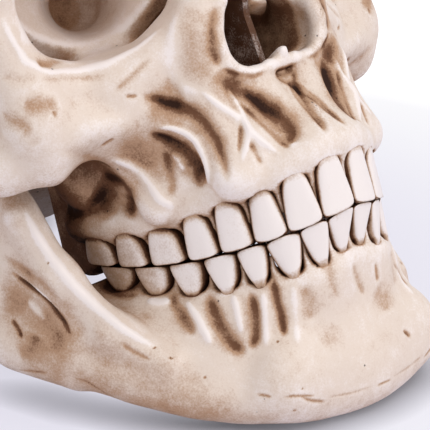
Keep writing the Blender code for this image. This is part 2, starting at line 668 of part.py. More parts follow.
def jaw_field():
    """The lower jaw."""
    low = (0.0, -1.05 * FACE_DEPTH, -FACE_HEIGHT)
    bone = Bone(low, (0.66 * FACE_WIDTH, 0.06 * FACE_DEPTH, 0.08 * FACE_HEIGHT))
    LOWER.ribs(bone, lower_rib_foot)
    bone.share_ball(CHIN_BALL_SHARE, SOFT_BLEND)
    bone.share_ball(CHIN_TUBERCLE_SHARE, FIRM_BLEND)
    bone.share_ball(CHIN_SIDE_SHARE, FIRM_BLEND)
    shape, low, high = ramus_shape()
    bone.apply(shape, low, high, FIRM_BLEND)
    bone.share_rod(OBLIQUE_ROD_SHARES, FIRM_BLEND)
    condyle = 0.5 * np.array((CONDYLE_WIDTH, CONDYLE_DEPTH, CONDYLE_HEIGHT))
    bone.ball(face(CONDYLE_SHARE), condyle, CRISP_BLEND)
    return bone


def remove(shape):
    """Take a tool out of the scene."""
    bpy.data.objects.remove(shape, do_unlink=True)


def box_above(name, height):
    """A large box whose underside lies at a height in the skull's frame."""
    reach = BRAINCASE_LENGTH + OVERRUN
    top = height + BRAINCASE_HEIGHT + OVERRUN
    low = [(x, y, height) for x, y in ((-reach, -reach), (reach, -reach), (reach, reach), (-reach, reach))]
    high = [(x, y, top) for x, y, _ in low]
    return loft(name, [low, high])


def cut_by(target, tools, operation="DIFFERENCE"):
    """Boolean a body by one or more tools, then drop the tools."""
    for tool in tools:
        boolean(target, cutter(tool), operation)
    apply_modifiers(target)
    keep_largest(target.data)
    for tool in tools:
        remove(tool)


def joined(name, shapes):
    """Several separate bodies in one tool."""
    work = bmesh.new()
    for shape in shapes:
        work.from_mesh(shape.data)
        remove(shape)
    data = bpy.data.meshes.new(name)
    work.to_mesh(data)
    work.free()
    tool = bpy.data.objects.new(name, data)
    bpy.context.collection.objects.link(tool)
    return tool


def copy_of(shape, name):
    """A second object with its own mesh."""
    twin = bpy.data.objects.new(name, shape.data.copy())
    bpy.context.collection.objects.link(twin)
    return twin


def row_of_teeth(jaw, jaw_name):
    """The teeth of a jaw, and tools that cut their sockets in two passes."""
    teeth, sockets = [], ([], [])
    for side, side_name in ((-1, "right"), (1, "left")):
        start = 0.0
        for i, tooth in enumerate(jaw.teeth):
            name = f"{jaw_name}_{side_name}_{tooth[0]}"
            teeth.append(loft(name, jaw.tooth_rings(start, tooth, side, 0.0)))
            socket = loft(f"{name}_socket", jaw.tooth_rings(start, tooth, side, SOCKET_CLEARANCE))
            sockets[(i + (side > 0)) % 2].append(socket)
            start += tooth[1]
    return teeth, [joined(f"{jaw_name}_sockets_{i}", group) for i, group in enumerate(sockets)]


def outline_plate(name, outline, thickness):
    """A flat plate on the middle plane from an outline of depths and heights."""
    half = 0.5 * thickness
    rings = [[(x, p[0], p[1]) for p in outline] for x in (-half, half)]
    return loft(name, rings)


def grown(outline, gap):
    """An outline moved outwards by a gap."""
    points = [Vector(p) for p in outline]
    area = sum(a.x * b.y - b.x * a.y for a, b in zip(points, points[1:] + points[:1]))
    way = math.copysign(1.0, area)
    moved = []
    for i, point in enumerate(points):
        before = (point - points[i - 1]).normalized()
        after = (points[(i + 1) % len(points)] - point).normalized()
        out_before = way * Vector((before.y, -before.x))
        out_after = way * Vector((after.y, -after.x))
        middle = (out_before + out_after).normalized()
        moved.append(point + middle * gap / max(0.3, middle.dot(out_after)))
    return moved


def rim_point(angle):
    """The middle of the braincase wall on the cut, at an angle about the braincase's own middle."""
    middle_y = BRAINCASE_SHARES[0][0][1] * BRAINCASE_LENGTH
    way = np.array((math.cos(angle), math.sin(angle)))
    reach = np.linspace(0.0, 0.6 * BRAINCASE_LENGTH, 1200)
    x, y = np.abs(reach * way[0]), middle_y + reach * way[1]
    union = np.full(reach.shape, OVERRUN)
    for share in BRAINCASE_SHARES:
        centre, radii = braincase_mass(share)
        p = [(v - c) / r for v, c, r in zip((x, y, np.full(reach.shape, CAP_CUT_HEIGHT)), centre, radii)]
        size = np.sqrt(p[0] ** 2 + p[1] ** 2 + p[2] ** 2)
        slope = np.sqrt((p[0] / radii[0]) ** 2 + (p[1] / radii[1]) ** 2 + (p[2] / radii[2]) ** 2)
        union = blend_min(union, size * (size - 1.0) / np.maximum(slope, TINY), SOFT_BLEND)
    distance = float(np.interp(-0.5 * BRAINCASE_WALL, union, reach))
    return Vector((distance * way[0], middle_y + distance * way[1], CAP_CUT_HEIGHT))


def rim_fittings():
    """Magnets and pegs of the cap's seam, with the holes that take them."""
    up = Vector((0.0, 0.0, 1.0))
    seam = 0.5 * CAP_SEAM
    pieces, base_holes, cap_holes = {}, [], []
    for i, angle in enumerate(MAGNET_ANGLES):
        at = rim_point(angle)
        for name, way, holes in (("rim", -1.0, base_holes), ("cap", 1.0, cap_holes)):
            axis = way * up
            start = at + axis * seam
            magnet = [(0.0, MAGNET_RADIUS), (MAGNET_DEPTH, MAGNET_RADIUS)]
            pieces[f"{name}_magnet_{i + 1}"] = turned(f"{name}_magnet_{i + 1}", start, axis, magnet)
            radius = MAGNET_RADIUS + FIT_GAP
            hole = [(-OVERRUN * SHORT_SHARE, radius), (MAGNET_DEPTH + FIT_GAP, radius)]
            holes.append(turned("hole", start, axis, hole))
    for i, angle in enumerate(PEG_ANGLES):
        at = rim_point(angle)
        low = PEG_EXPOSED - PEG_LENGTH
        profile = [(low, PEG_RADIUS), (0.8 * PEG_EXPOSED, PEG_RADIUS), (PEG_EXPOSED, 0.7 * PEG_RADIUS)]
        pieces[f"locating_peg_{i + 1}"] = turned(f"locating_peg_{i + 1}", at, up, profile)
        radius = PEG_RADIUS + FIT_GAP
        span = OVERRUN * SHORT_SHARE
        base_holes.append(turned("hole", at, up, [(low - FIT_GAP, radius), (span, radius)]))
        cap_holes.append(turned("hole", at, up, [(-span, radius), (PEG_EXPOSED + FIT_GAP, radius)]))
    return pieces, joined("base_holes", base_holes), joined("cap_holes", cap_holes)


def spring_screw(name, at, side):
    """A screw across the skull that holds a spring's end, and the hole for it."""
    axis = Vector((side, 0.0, 0.0))
    head = COIL_RADIUS + WIRE_RADIUS + FIT_GAP
    bite = at.x - SPRING_SCREW_INNER_SHARE * FACE_WIDTH
    start = Vector((side * (at.x - bite), at.y, at.z))
    under_head = bite + head
    profile = [(0.0, SPRING_SCREW_RADIUS), (under_head, SPRING_SCREW_RADIUS),
               (under_head + FIT_GAP, SPRING_HEAD_RADIUS),
               (under_head + SPRING_HEAD_LENGTH, SPRING_HEAD_RADIUS)]
    hole = [(-FIT_GAP, SPRING_SCREW_RADIUS + FIT_GAP), (under_head, SPRING_SCREW_RADIUS + FIT_GAP)]
    return turned(name, start, axis, profile), turned(f"{name}_hole", start, axis, hole)


def spring_path(top, foot):
    """Points of a jaw spring: straight end, coil, straight end."""
    axis = (foot - top).normalized()
    across = axis.orthogonal().normalized()
    other = axis.cross(across)
    clear = SPRING_SCREW_RADIUS + FIT_GAP
    start = top + axis * clear
    end = foot - axis * clear
    coil = COIL_TURNS * COIL_PITCH
    lead = 0.5 * ((end - start).length - coil)
    points = [start, start + axis * (2.0 * WIRE_RADIUS)]
    steps = COIL_TURNS * POINTS_PER_TURN
    for i in range(-RAMP_POINTS, steps + RAMP_POINTS + 1):
        turn = i / POINTS_PER_TURN
        past = max(-i, i - steps, 0) / RAMP_POINTS
        way = math.copysign(past, i)
        along = lead + COIL_PITCH * min(max(turn, 0.0), COIL_TURNS) + way * (lead - 3.0 * WIRE_RADIUS)
        radius = COIL_RADIUS * (1.0 - past)
        angle = math.tau * turn
        points.append(start + axis * along + radius * (math.cos(angle) * across + math.sin(angle) * other))
    points += [end - axis * (2.0 * WIRE_RADIUS), end]
    return points


def least_gap(points):
    """The least gap of a wire to itself, measured between points half a turn or more apart."""
    places = np.array([tuple(point) for point in points])
    gap = OVERRUN
    for i in range(len(places)):
        rest = places[i + POINTS_PER_TURN // 2:]
        if len(rest):
            gap = min(gap, float(np.linalg.norm(rest - places[i], axis=1).min()))
    return gap - 2.0 * WIRE_RADIUS


def wire(name, points):
    """A round wire along points, with filled ends."""
    curve = bpy.data.curves.new(name, "CURVE")
    curve.dimensions = "3D"
    curve.bevel_depth = WIRE_RADIUS
    curve.bevel_resolution = 1
    curve.use_fill_caps = True
    spline = curve.splines.new("POLY")
    spline.points.add(len(points) - 1)
    for place, point in zip(spline.points, points):
        place.co = (*point, 1.0)
    shape = bpy.data.objects.new(name, curve)
    bpy.context.collection.objects.link(shape)
    return shape


def spring_sets():
    """Springs and screws of both sides, with the holes in the skull and in the jaw."""
    pieces, top_holes, foot_holes = {}, [], []
    for side, name in ((-1, "right"), (1, "left")):
        top, foot = (Vector(face(share)) for share in (SPRING_TOP_SHARE, SPRING_FOOT_SHARE))
        pieces[f"{name}_upper_spring_screw"], hole = spring_screw(f"{name}_upper_spring_screw", top, side)
        top_holes.append(hole)
        pieces[f"{name}_lower_spring_screw"], hole = spring_screw(f"{name}_lower_spring_screw", foot, side)
        foot_holes.append(hole)
        top.x, foot.x = side * top.x, side * foot.x
        points = spring_path(top, foot)
        pieces[f"{name}_jaw_spring"] = wire(f"{name}_jaw_spring", points)
    print("least gap of a spring's wire to itself, mm:", round(1000.0 * least_gap(points), 3))
    return pieces, joined("top_holes", top_holes), joined("foot_holes", foot_holes)


def styloids():
    """The two styloid inserts and the holes that seat them."""
    pieces, holes = {}, []
    for side, name in ((-1, "right"), (1, "left")):
        root, tip = (Vector(face(share)) for share in STYLOID_SHARES)
        root.x, tip.x = side * root.x, side * tip.x
        length = (tip - root).length
        spread = STYLOID_ROOT_RADIUS - STYLOID_TIP_RADIUS
        profile = [(0.0, STYLOID_ROOT_RADIUS), (0.5 * length, STYLOID_TIP_RADIUS + 0.4 * spread),
                   (length, STYLOID_TIP_RADIUS)]
        pieces[f"{name}_styloid"] = turned(f"{name}_styloid", root, tip - root, profile)
        hole = [(-FIT_GAP, STYLOID_ROOT_RADIUS + FIT_GAP)]
        hole += [(along, radius + FIT_GAP) for along, radius in profile[1:]]
        holes.append(turned("hole", root, tip - root, hole))
    return pieces, joined("styloid_holes", holes)


def tilted(shape, pitch):
    """Depths and heights of a body's points when the skull is tipped back by a pitch."""
    points = np.array([tuple(vert.co) for vert in shape.data.vertices])
    depth = points[:, 1] * math.cos(pitch) + points[:, 2] * math.sin(pitch)
    height = points[:, 2] * math.cos(pitch) - points[:, 1] * math.sin(pitch)
    return depth, height


def resting_pitch(base, jaw):
    """The pitch at which the chin and the occiput reach the table together."""
    low, high = 0.0, math.radians(45.0)
    for _ in range(40):
        pitch = 0.5 * (low + high)
        if tilted(jaw, pitch)[1].min() < tilted(base, pitch)[1].min():
            low = pitch
        else:
            high = pitch
    return pitch


def table_box(pitch, height):
    """A large box under the table plane, in the skull's frame."""
    reach = BRAINCASE_LENGTH + OVERRUN
    corners = ((-reach, -reach), (reach, -reach), (reach, reach), (-reach, reach))
    tool = loft("table", [[(x, y, z) for x, y in corners] for z in (height - OVERRUN, height)])
    tool.data.transform(Matrix.Rotation(pitch, 4, "X"))
    return tool


def build():
    """The whole model."""
    for shape in list(bpy.data.objects):
        bpy.data.objects.remove(shape, do_unlink=True)
    bone_surface = material("resin_bone", BONE_COLOUR, 0.62)
    tooth_surface = material("resin_teeth", TOOTH_COLOUR, 0.42)
    steel = material("spring_steel", STEEL_COLOUR, 0.30, 1.0)
    magnet_surface = material("magnet_plating", MAGNET_COLOUR, 0.35, 1.0)
    insert_surface = material("flexible_insert", INSERT_COLOUR, 0.55)

    skull = skull_field().mesh("whole_skull", SKULL_FACETS)
    jaw = jaw_field().mesh("mandible", JAW_FACETS)
    cap = copy_of(skull, "calvarium")
    base = copy_of(skull, "skull_base")
    remove(skull)

    fittings, base_holes, cap_holes = rim_fittings()
    springs, top_holes, foot_holes = spring_sets()
    inserts, insert_holes = styloids()
    upper_teeth, upper_sockets = row_of_teeth(UPPER, "upper")
    lower_teeth, lower_sockets = row_of_teeth(LOWER, "lower")
    outline = [(share[0] * FACE_DEPTH, share[1] * FACE_HEIGHT) for share in SEPTUM_OUTLINE_SHARES]
    septum = outline_plate("nasal_septum", outline, SEPTUM_THICKNESS)
    slot = outline_plate("septum_slot", grown(outline, FIT_GAP), SEPTUM_THICKNESS + 2.0 * FIT_GAP)

    cut_by(cap, [box_above("cap_side", CAP_CUT_HEIGHT + 0.5 * CAP_SEAM)], "INTERSECT")
    cut_by(cap, [cap_holes])
    cut_by(base, [box_above("base_side", CAP_CUT_HEIGHT - 0.5 * CAP_SEAM)])
    cut_by(base, [base_holes, top_holes, insert_holes, slot])
    cut_by(base, upper_sockets)
    cut_by(jaw, lower_sockets + [foot_holes])

    pitch = resting_pitch(base, jaw)
    table = tilted(jaw, pitch)[1].min() + FOOT_DEPTH
    cut_by(base, [table_box(pitch, table)])
    cut_by(jaw, [table_box(pitch, table)])
    print("resting pitch, degrees:", round(math.degrees(pitch), 3))

    jaw_screws = [springs["right_lower_spring_screw"], springs["left_lower_spring_screw"]]
    jaw_pieces = [jaw] + lower_teeth + jaw_screws
    cap_pieces = [cap] + [fittings[f"cap_magnet_{i + 1}"] for i in range(len(MAGNET_ANGLES))]
    everything = [s for s in bpy.data.objects if s.type in ("MESH", "CURVE")]
    depths = np.concatenate([tilted(s, pitch)[0] for s in (base, cap, jaw)])
    for shape in everything:
        if shape.type == "MESH":
            shape.data.shade_smooth()
            shape.data.set_sharp_from_angle(angle=math.radians(50.0))
    for shape in everything:
        name = shape.name
        surface = bone_surface
        if name.startswith(("upper_", "lower_")):
            surface = tooth_surface
        elif "magnet" in name:
            surface = magnet_surface
        elif "spring" in name or "peg" in name:
            surface = steel
        elif "styloid" in name or "septum" in name:
            surface = insert_surface
        shape.data.materials.clear()
        shape.data.materials.append(surface)

    root = bpy.data.objects.new("skull_frame", None)
    hinge = bpy.data.objects.new("jaw_hinge", None)
    slide = bpy.data.objects.new("cap_slide", None)
    for empty in (root, hinge, slide):
        bpy.context.collection.objects.link(empty)
    hinge.parent = slide.parent = root
    hinge.location = (0.0, *face(CONDYLE_SHARE)[1:])
    slide.location = (0.0, BRAINCASE_SHARES[0][0][1] * BRAINCASE_LENGTH, CAP_CUT_HEIGHT)
    for shape in everything:
        carrier = hinge if shape in jaw_pieces else slide if shape in cap_pieces else root
        shape.parent = carrier
        if carrier is not root:
            shape.data.transform(Matrix.Translation(-carrier.location))
    root.rotation_euler = (-pitch, 0.0, 0.0)
    root.location = (0.0, -0.5 * (depths.min() + depths.max()), -table)


build()
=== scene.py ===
import json
import logging
import math
from collections.abc import Callable
from dataclasses import dataclass, field
from enum import Enum

import bpy
import numpy as np
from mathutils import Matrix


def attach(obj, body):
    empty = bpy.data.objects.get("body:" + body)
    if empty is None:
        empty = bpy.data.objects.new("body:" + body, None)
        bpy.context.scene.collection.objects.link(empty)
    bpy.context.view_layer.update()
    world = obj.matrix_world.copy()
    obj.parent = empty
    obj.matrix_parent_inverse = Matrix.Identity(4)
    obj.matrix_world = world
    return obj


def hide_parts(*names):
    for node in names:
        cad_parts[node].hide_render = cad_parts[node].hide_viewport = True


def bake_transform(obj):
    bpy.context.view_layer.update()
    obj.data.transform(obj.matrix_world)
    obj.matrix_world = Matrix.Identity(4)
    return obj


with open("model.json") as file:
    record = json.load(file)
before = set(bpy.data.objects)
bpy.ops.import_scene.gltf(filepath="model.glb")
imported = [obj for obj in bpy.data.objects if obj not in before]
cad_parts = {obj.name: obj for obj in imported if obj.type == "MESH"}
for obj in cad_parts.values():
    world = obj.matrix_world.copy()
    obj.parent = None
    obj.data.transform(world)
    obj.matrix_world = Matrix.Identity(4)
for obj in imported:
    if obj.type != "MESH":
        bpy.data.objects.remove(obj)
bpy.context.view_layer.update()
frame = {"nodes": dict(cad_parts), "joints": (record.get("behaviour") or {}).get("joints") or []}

import openvdb
from mathutils import Matrix, Vector
from mathutils.bvhtree import BVHTree

LOG = logging.getLogger("skull")

Share = tuple[float, ...]
Shares = tuple[Share, ...]
Socket = bpy.types.NodeSocket
Value = Socket | float | Share
Tooth = tuple[str, float, float, float, float]
DistanceShape = Callable[[np.ndarray, np.ndarray, np.ndarray], np.ndarray]
RibFoot = Callable[[float, float], tuple[np.ndarray, float]]

# Driving sizes of the skull, in metres
FACE_WIDTH = 0.100
FACE_DEPTH = 0.100
FACE_HEIGHT = 0.100
FACE = np.array((FACE_WIDTH, FACE_DEPTH, FACE_HEIGHT))
BRAINCASE = np.array((0.142, 0.182, 0.118))
BRAINCASE_WALL = 0.0070
CAP_CUT_HEIGHT = 0.052
CAP_SEAM = 0.0004
CONDYLE = np.array((0.0190, 0.0090, 0.0090))
CONDYLE_CLEARANCE = 0.0010
# Play that the roughened condyles need in their hollows
ROUGHNESS_PLAY = 0.0006
ARCH_HALF_WIDTH = 0.0318
ARCH_DEPTH = 0.0520
ARCH_POWER = 1.95
ARCH_FRONT_SHARE = 1.02
BITE_DROP = 0.0463
BITE_FRONT_RISE = 0.0022
BITE_BACK_RISE = 0.0049
BITE_LOW_SHARE = 0.46
BITE_GAP = 0.0001
TOOTH_GAP = 0.0001
ROOT_LENGTH = 0.0070
LOWER_BITE_INSET = 0.0008
SOFT_BLEND = 0.0110
FIRM_BLEND = 0.0046
CRISP_BLEND = 0.0015
RIB_BLEND = 0.0009
RAMUS_THICKNESS = 0.0064
BORDER_RADIUS = 0.0060
RIB_SINK_SHARE = 0.52
LOWER_RIB_SAG = 0.0010
ROOT_LEAN_SHARE = 0.85
FIT_GAP = 0.0003
FAR = 0.0300
TINY = 1.0e-6
FIELD_MARGIN = 0.0057
NARROW_STROKE = 0.0009
WIDE_STAIN_SHARE = 1.6
STROKE_REACH_SHARE = 2.6
FIELD_STEP = 0.0008
ARCH_STEPS = 400
RIM_STEPS = 1200
MILLIMETRE = 0.001
MIRROR = np.array((-1.0, 1.0, 1.0))

# Teeth, from the middle outwards: name, width, crown height, neck depth, edge depth
UPPER_TEETH = (
    ("central_incisor", 0.0090, 0.0119, 0.0068, 0.0022),
    ("lateral_incisor", 0.0084, 0.0113, 0.0066, 0.0022),
    ("canine", 0.0080, 0.0109, 0.0078, 0.0030),
    ("first_premolar", 0.0084, 0.0106, 0.0082, 0.0060),
    ("second_premolar", 0.0083, 0.0096, 0.0084, 0.0064),
    ("first_molar", 0.0102, 0.0080, 0.0100, 0.0088),
    ("second_molar", 0.0094, 0.0074, 0.0100, 0.0088),
    ("third_molar", 0.0100, 0.0062, 0.0096, 0.0084),
)
LOWER_TEETH = (
    ("central_incisor", 0.0080, 0.0082, 0.0060, 0.0020),
    ("lateral_incisor", 0.0071, 0.0088, 0.0060, 0.0020),
    ("canine", 0.0083, 0.0086, 0.0072, 0.0028),
    ("first_premolar", 0.0074, 0.0082, 0.0074, 0.0056),
    ("second_premolar", 0.0084, 0.0078, 0.0080, 0.0062),
    ("first_molar", 0.0092, 0.0074, 0.0096, 0.0084),
    ("second_molar", 0.0099, 0.0068, 0.0096, 0.0084),
    ("third_molar", 0.0106, 0.0060, 0.0094, 0.0082),
)

# Braincase masses: place and half size, as shares of its breadth, length and height
BRAINCASE_SHARES = (
    ((0.000, 0.077, 0.356), (0.500, 0.412, 0.636)),
    ((0.000, -0.154, 0.424), (0.401, 0.363, 0.525)),
    ((0.000, 0.286, 0.186), (0.366, 0.209, 0.339)),
    ((0.141, 0.262, -0.088), (0.190, 0.143, 0.190)),
)
FLOOR_SHARES = ((-0.90, 0.44), (-0.52, 0.41), (-0.44, 0.28), (-0.34, 0.10), (0.12, 0.09), (0.24, -0.15),
                (0.90, -0.15))

# Face and base masses: place and half size, as shares of the face's width, depth and height
BASE_BALL_SHARES = (
    ((0.00, -0.66, -0.24), (0.27, 0.26, 0.17)),  # upper jaw
    ((0.27, -0.66, -0.08), (0.15, 0.14, 0.12)),  # cheek side of the upper jaw
    ((0.49, -0.645, -0.07), (0.09, 0.085, 0.11)),  # cheekbone
    ((0.00, -0.28, 0.02), (0.18, 0.20, 0.16)),  # sphenoid body
    ((0.00, 0.12, -0.08), (0.42, 0.34, 0.18)),  # skull base
    ((0.50, -0.22, 0.01), (0.11, 0.07, 0.07)),  # articular eminence
    ((0.50, -0.08, 0.07), (0.11, 0.17, 0.08)),  # root of the temple
    ((0.52, 0.04, -0.04), (0.10, 0.07, 0.08)),  # ear rim
    ((0.15, 0.10, -0.25), (0.06, 0.10, 0.05)),  # occipital condyle
    ((0.27, -0.50, -0.21), (0.09, 0.08, 0.10)),  # back of the upper jaw
    ((0.20, -0.70, -0.19), (0.13, 0.155, 0.20)),  # wall over the premolars
)
# Rods: points with a radius, as shares of the face's width, depth, height and width
BASE_ROD_SHARES = (
    ((0.08, -0.90, 0.38, 0.080), (0.20, -0.89, 0.41, 0.075), (0.35, -0.845, 0.435, 0.075),
     (0.47, -0.75, 0.37, 0.065), (0.53, -0.67, 0.26, 0.060), (0.53, -0.63, 0.14, 0.058),
     (0.50, -0.64, 0.02, 0.070)),  # brow and outer rim
    ((0.50, -0.63, 0.03, 0.055), (0.41, -0.66, -0.015, 0.050), (0.31, -0.72, -0.03, 0.050),
     (0.25, -0.77, -0.02, 0.048), (0.20, -0.805, 0.01, 0.048),
     (0.15, -0.84, 0.07, 0.045)),  # lower rim
    ((0.17, -0.85, -0.10, 0.055), (0.165, -0.86, 0.02, 0.045), (0.13, -0.87, 0.12, 0.045),
     (0.09, -0.89, 0.22, 0.045), (0.06, -0.88, 0.33, 0.055)),  # side of the nose
    ((0.00, -0.88, 0.34, 0.060), (0.02, -0.925, 0.24, 0.045), (0.03, -0.975, 0.14, 0.032)),  # nose bones
    ((0.55, -0.555, -0.15, 0.050), (0.48, -0.63, -0.150, 0.050), (0.415, -0.69, -0.125, 0.050),
     (0.365, -0.710, -0.155, 0.046), (0.325, -0.727, -0.215, 0.044),
     (0.292, -0.72, -0.325, 0.042)),  # crest from cheekbone to molars
    ((0.55, -0.555, -0.14, 0.054), (0.62, -0.44, -0.10, 0.042), (0.66, -0.28, -0.05, 0.038),
     (0.65, -0.12, 0.00, 0.042), (0.61, 0.04, 0.03, 0.050), (0.58, 0.20, 0.04, 0.060)),  # cheek arch
    ((0.52, 0.16, -0.06, 0.120), (0.50, 0.15, -0.22, 0.070)),  # mastoid
    ((0.00, -0.20, -0.08, 0.100), (0.00, 0.10, -0.18, 0.090)),  # basal part
    ((0.14, -0.42, -0.10, 0.055), (0.17, -0.38, -0.35, 0.030)),  # pterygoid plate
    ((0.165, -0.838, -0.05, 0.048), (0.180, -0.850, -0.18, 0.050),
     (0.205, -0.885, -0.31, 0.052)),  # canine pillar
    ((0.06, -0.885, -0.145, 0.050), (0.065, -0.945, -0.27, 0.052)),  # wall above the incisors
)
# Hollows of the face in the same shares
ORBIT_BALL_SHARE = ((0.335, -0.78, 0.195), (0.175, 0.24, 0.175))
ORBIT_ROD_SHARES = ((0.30, -0.70, 0.18, 0.130), (0.15, -0.48, 0.15, 0.060))
NOSTRIL_BALL_SHARE = ((0.075, -0.93, -0.03), (0.070, 0.15, 0.060))
NASAL_ROD_SHARES = (
    ((0.045, -0.95, 0.03, 0.082), (0.035, -0.955, 0.09, 0.055), (0.00, -0.96, 0.14, 0.030)),
    ((0.065, -0.81, -0.03, 0.070), (0.060, -0.50, -0.01, 0.075)),
    ((0.00, -0.85, 0.09, 0.055), (0.00, -0.52, 0.12, 0.060)),
    ((0.00, -0.42, -0.04, 0.080), (0.00, -0.36, -0.30, 0.100)),
)
# Raised edge of the nasal opening, laid once the opening is cut
NASAL_RIM_SHARES = (
    ((0.00, -0.870, -0.115, 0.026), (0.00, -0.932, -0.075, 0.014)),  # nasal spine
    ((0.00, -0.922, -0.100, 0.013), (0.040, -0.920, -0.098, 0.013), (0.080, -0.914, -0.103, 0.014),
     (0.120, -0.910, -0.096, 0.015), (0.146, -0.906, -0.070, 0.016), (0.158, -0.906, -0.030, 0.017),
     (0.148, -0.906, 0.030, 0.017), (0.125, -0.912, 0.070, 0.017),
     (0.102, -0.918, 0.110, 0.016)),  # sill and side
)
# Thin plates that hang behind the upper molars, long enough to block the view through the mouth; their dark
# stain is painted shade
PLATE_AND_SHADOW_ROD_SHARES = (
    ((0.20, -0.44, -0.08, 0.030), (0.215, -0.385, -0.43, 0.024)),
    ((0.20, -0.38, -0.08, 0.030), (0.215, -0.345, -0.43, 0.024)),
    ((0.20, -0.32, -0.08, 0.030), (0.215, -0.295, -0.41, 0.022)),
)
# Soft filling between the wall above the incisors and the canine pillar
FILLING_ROD_SHARES = ((0.115, -0.840, -0.09, 0.042), (0.122, -0.865, -0.18, 0.050),
                      (0.135, -0.888, -0.26, 0.052), (0.150, -0.905, -0.32, 0.048))
CHEEK_SLOPE_BALL_SHARE = ((0.42, -0.80, -0.24), (0.14, 0.14, 0.10))
PALATE_BALL_SHARE = ((0.00, -0.66, -0.44), (0.18, 0.27, 0.13))
TEMPLE_BALL_SHARE = ((0.66, -0.47, 0.16), (0.20, 0.17, 0.20))
EAR_ROD_SHARES = ((0.72, 0.02, -0.01, 0.030), (0.52, 0.01, -0.01, 0.030))
FORAMEN_ROD_SHARES = ((0.00, 0.28, -0.60, 0.155), (0.00, 0.27, 0.10, 0.155))
CONDYLE_SHARE = (0.50, -0.12, -0.04)

# Lower jaw: lower border, then the outline of the ramus in depth and height
BORDER_SHARES = ((0.00, -0.862, -0.812), (0.14, -0.844, -0.812), (0.24, -0.790, -0.789),
                 (0.325, -0.710, -0.744), (0.39, -0.604, -0.677), (0.435, -0.50, -0.612),
                 (0.47, -0.34, -0.540))
RAMUS_OUTLINE_SHARES = ((-0.42, -0.01), (-0.46, -0.10), (-0.49, -0.26), (-0.505, -0.40), (-0.56, -0.56),
                        (-0.48, -0.66), (-0.30, -0.575), (-0.16, -0.51), (-0.10, -0.46), (-0.075, -0.36),
                        (-0.085, -0.18), (-0.085, -0.06), (-0.15, -0.07), (-0.20, -0.15), (-0.27, -0.18),
                        (-0.35, -0.13), (-0.385, -0.02))
RAMUS_PLACE_SHARES = ((-0.56, 0.445), (-0.15, 0.500), (0.00, 0.500))
CHIN_BALL_SHARE = ((0.00, -0.869, -0.784), (0.14, 0.060, 0.076))
CHIN_TUBERCLE_SHARE = ((0.20, -0.842, -0.784), (0.075, 0.056, 0.058))
CHIN_SIDE_SHARE = ((0.18, -0.868, -0.755), (0.085, 0.062, 0.085))
OBLIQUE_ROD_SHARES = ((0.475, -0.475, -0.26, 0.032), (0.452, -0.52, -0.415, 0.036),
                      (0.415, -0.60, -0.565, 0.036), (0.375, -0.69, -0.66, 0.030))

# Fittings
MAGNET_RADIUS = 0.0016
MAGNET_DEPTH = 0.0020
PEG_RADIUS = 0.0013
PEG_LENGTH = 0.0070
PEG_EXPOSED = 0.0025
MAGNET_ANGLES = (math.radians(90), math.radians(335))
PEG_ANGLES = (math.radians(20),)
SPRING_TOP_SHARE = (0.535, -0.38, 0.195)
SPRING_FOOT_SHARE = (0.530, -0.405, -0.085)


def face(share: Share) -> np.ndarray:
    """The place of a face share in the skull's frame."""
    return np.array(share[:3]) * FACE


def blend_min(first: np.ndarray, second: np.ndarray, width: float) -> np.ndarray:
    """The rounded union of two distance fields."""
    mix = np.clip(0.5 + 0.5 * (second - first) / width, 0.0, 1.0)
    return second + (first - second) * mix - width * mix * (1.0 - mix)


def smooth_step(value: np.ndarray, low: float, high: float) -> np.ndarray:
    """A soft rise from 0 at low to 1 at high."""
    t = np.clip((value - low) / (high - low), 0.0, 1.0)
    return t * t * (3.0 - 2.0 * t)


def linked(name: str, data: bpy.types.ID) -> bpy.types.Object:
    """Make an object of some data and put it in the scene."""
    shape = bpy.data.objects.new(name, data)
    bpy.context.collection.objects.link(shape)
    return shape


@dataclass(frozen=True)
class SkullFrame:
    """Where the skull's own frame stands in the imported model.

    X runs across, Y back from the ear holes and Z up from the ear-eye plane.
    """

    pitch: float
    depth: float
    height: float

    @classmethod
    def from_joints(cls) -> "SkullFrame":
        """Read the posture from the cap's slide and the jaw's hinge.

        Returns:
            The skull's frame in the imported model.
        """
        joints = {joint["name"]: joint for joint in frame["joints"]}
        axis = joints["cap_slide"]["axis"]
        pitch = math.atan2(axis[1], axis[2])
        hinge = joints["jaw_hinge"]["pos_m"]
        condyle = face(CONDYLE_SHARE)
        depth = hinge[1] - math.cos(pitch) * condyle[1] - math.sin(pitch) * condyle[2]
        height = hinge[2] + math.sin(pitch) * condyle[1] - math.cos(pitch) * condyle[2]
        return cls(pitch, float(depth), float(height))

    def to_model(self, points: np.ndarray) -> np.ndarray:
        """Move points from the skull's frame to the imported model's."""
        points = np.atleast_2d(np.asarray(points, dtype=float))
        c, s = math.cos(self.pitch), math.sin(self.pitch)
        y = c * points[:, 1] + s * points[:, 2] + self.depth
        z = -s * points[:, 1] + c * points[:, 2] + self.height
        return np.stack((points[:, 0], y, z), axis=1)

    def to_skull(self, points: np.ndarray) -> np.ndarray:
        """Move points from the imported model's frame to the skull's."""
        points = np.atleast_2d(np.asarray(points, dtype=float))
        c, s = math.cos(self.pitch), math.sin(self.pitch)
        y, z = points[:, 1] - self.depth, points[:, 2] - self.height
        return np.stack((points[:, 0], c * y - s * z, s * y + c * z), axis=1)


POSTURE = SkullFrame.from_joints()


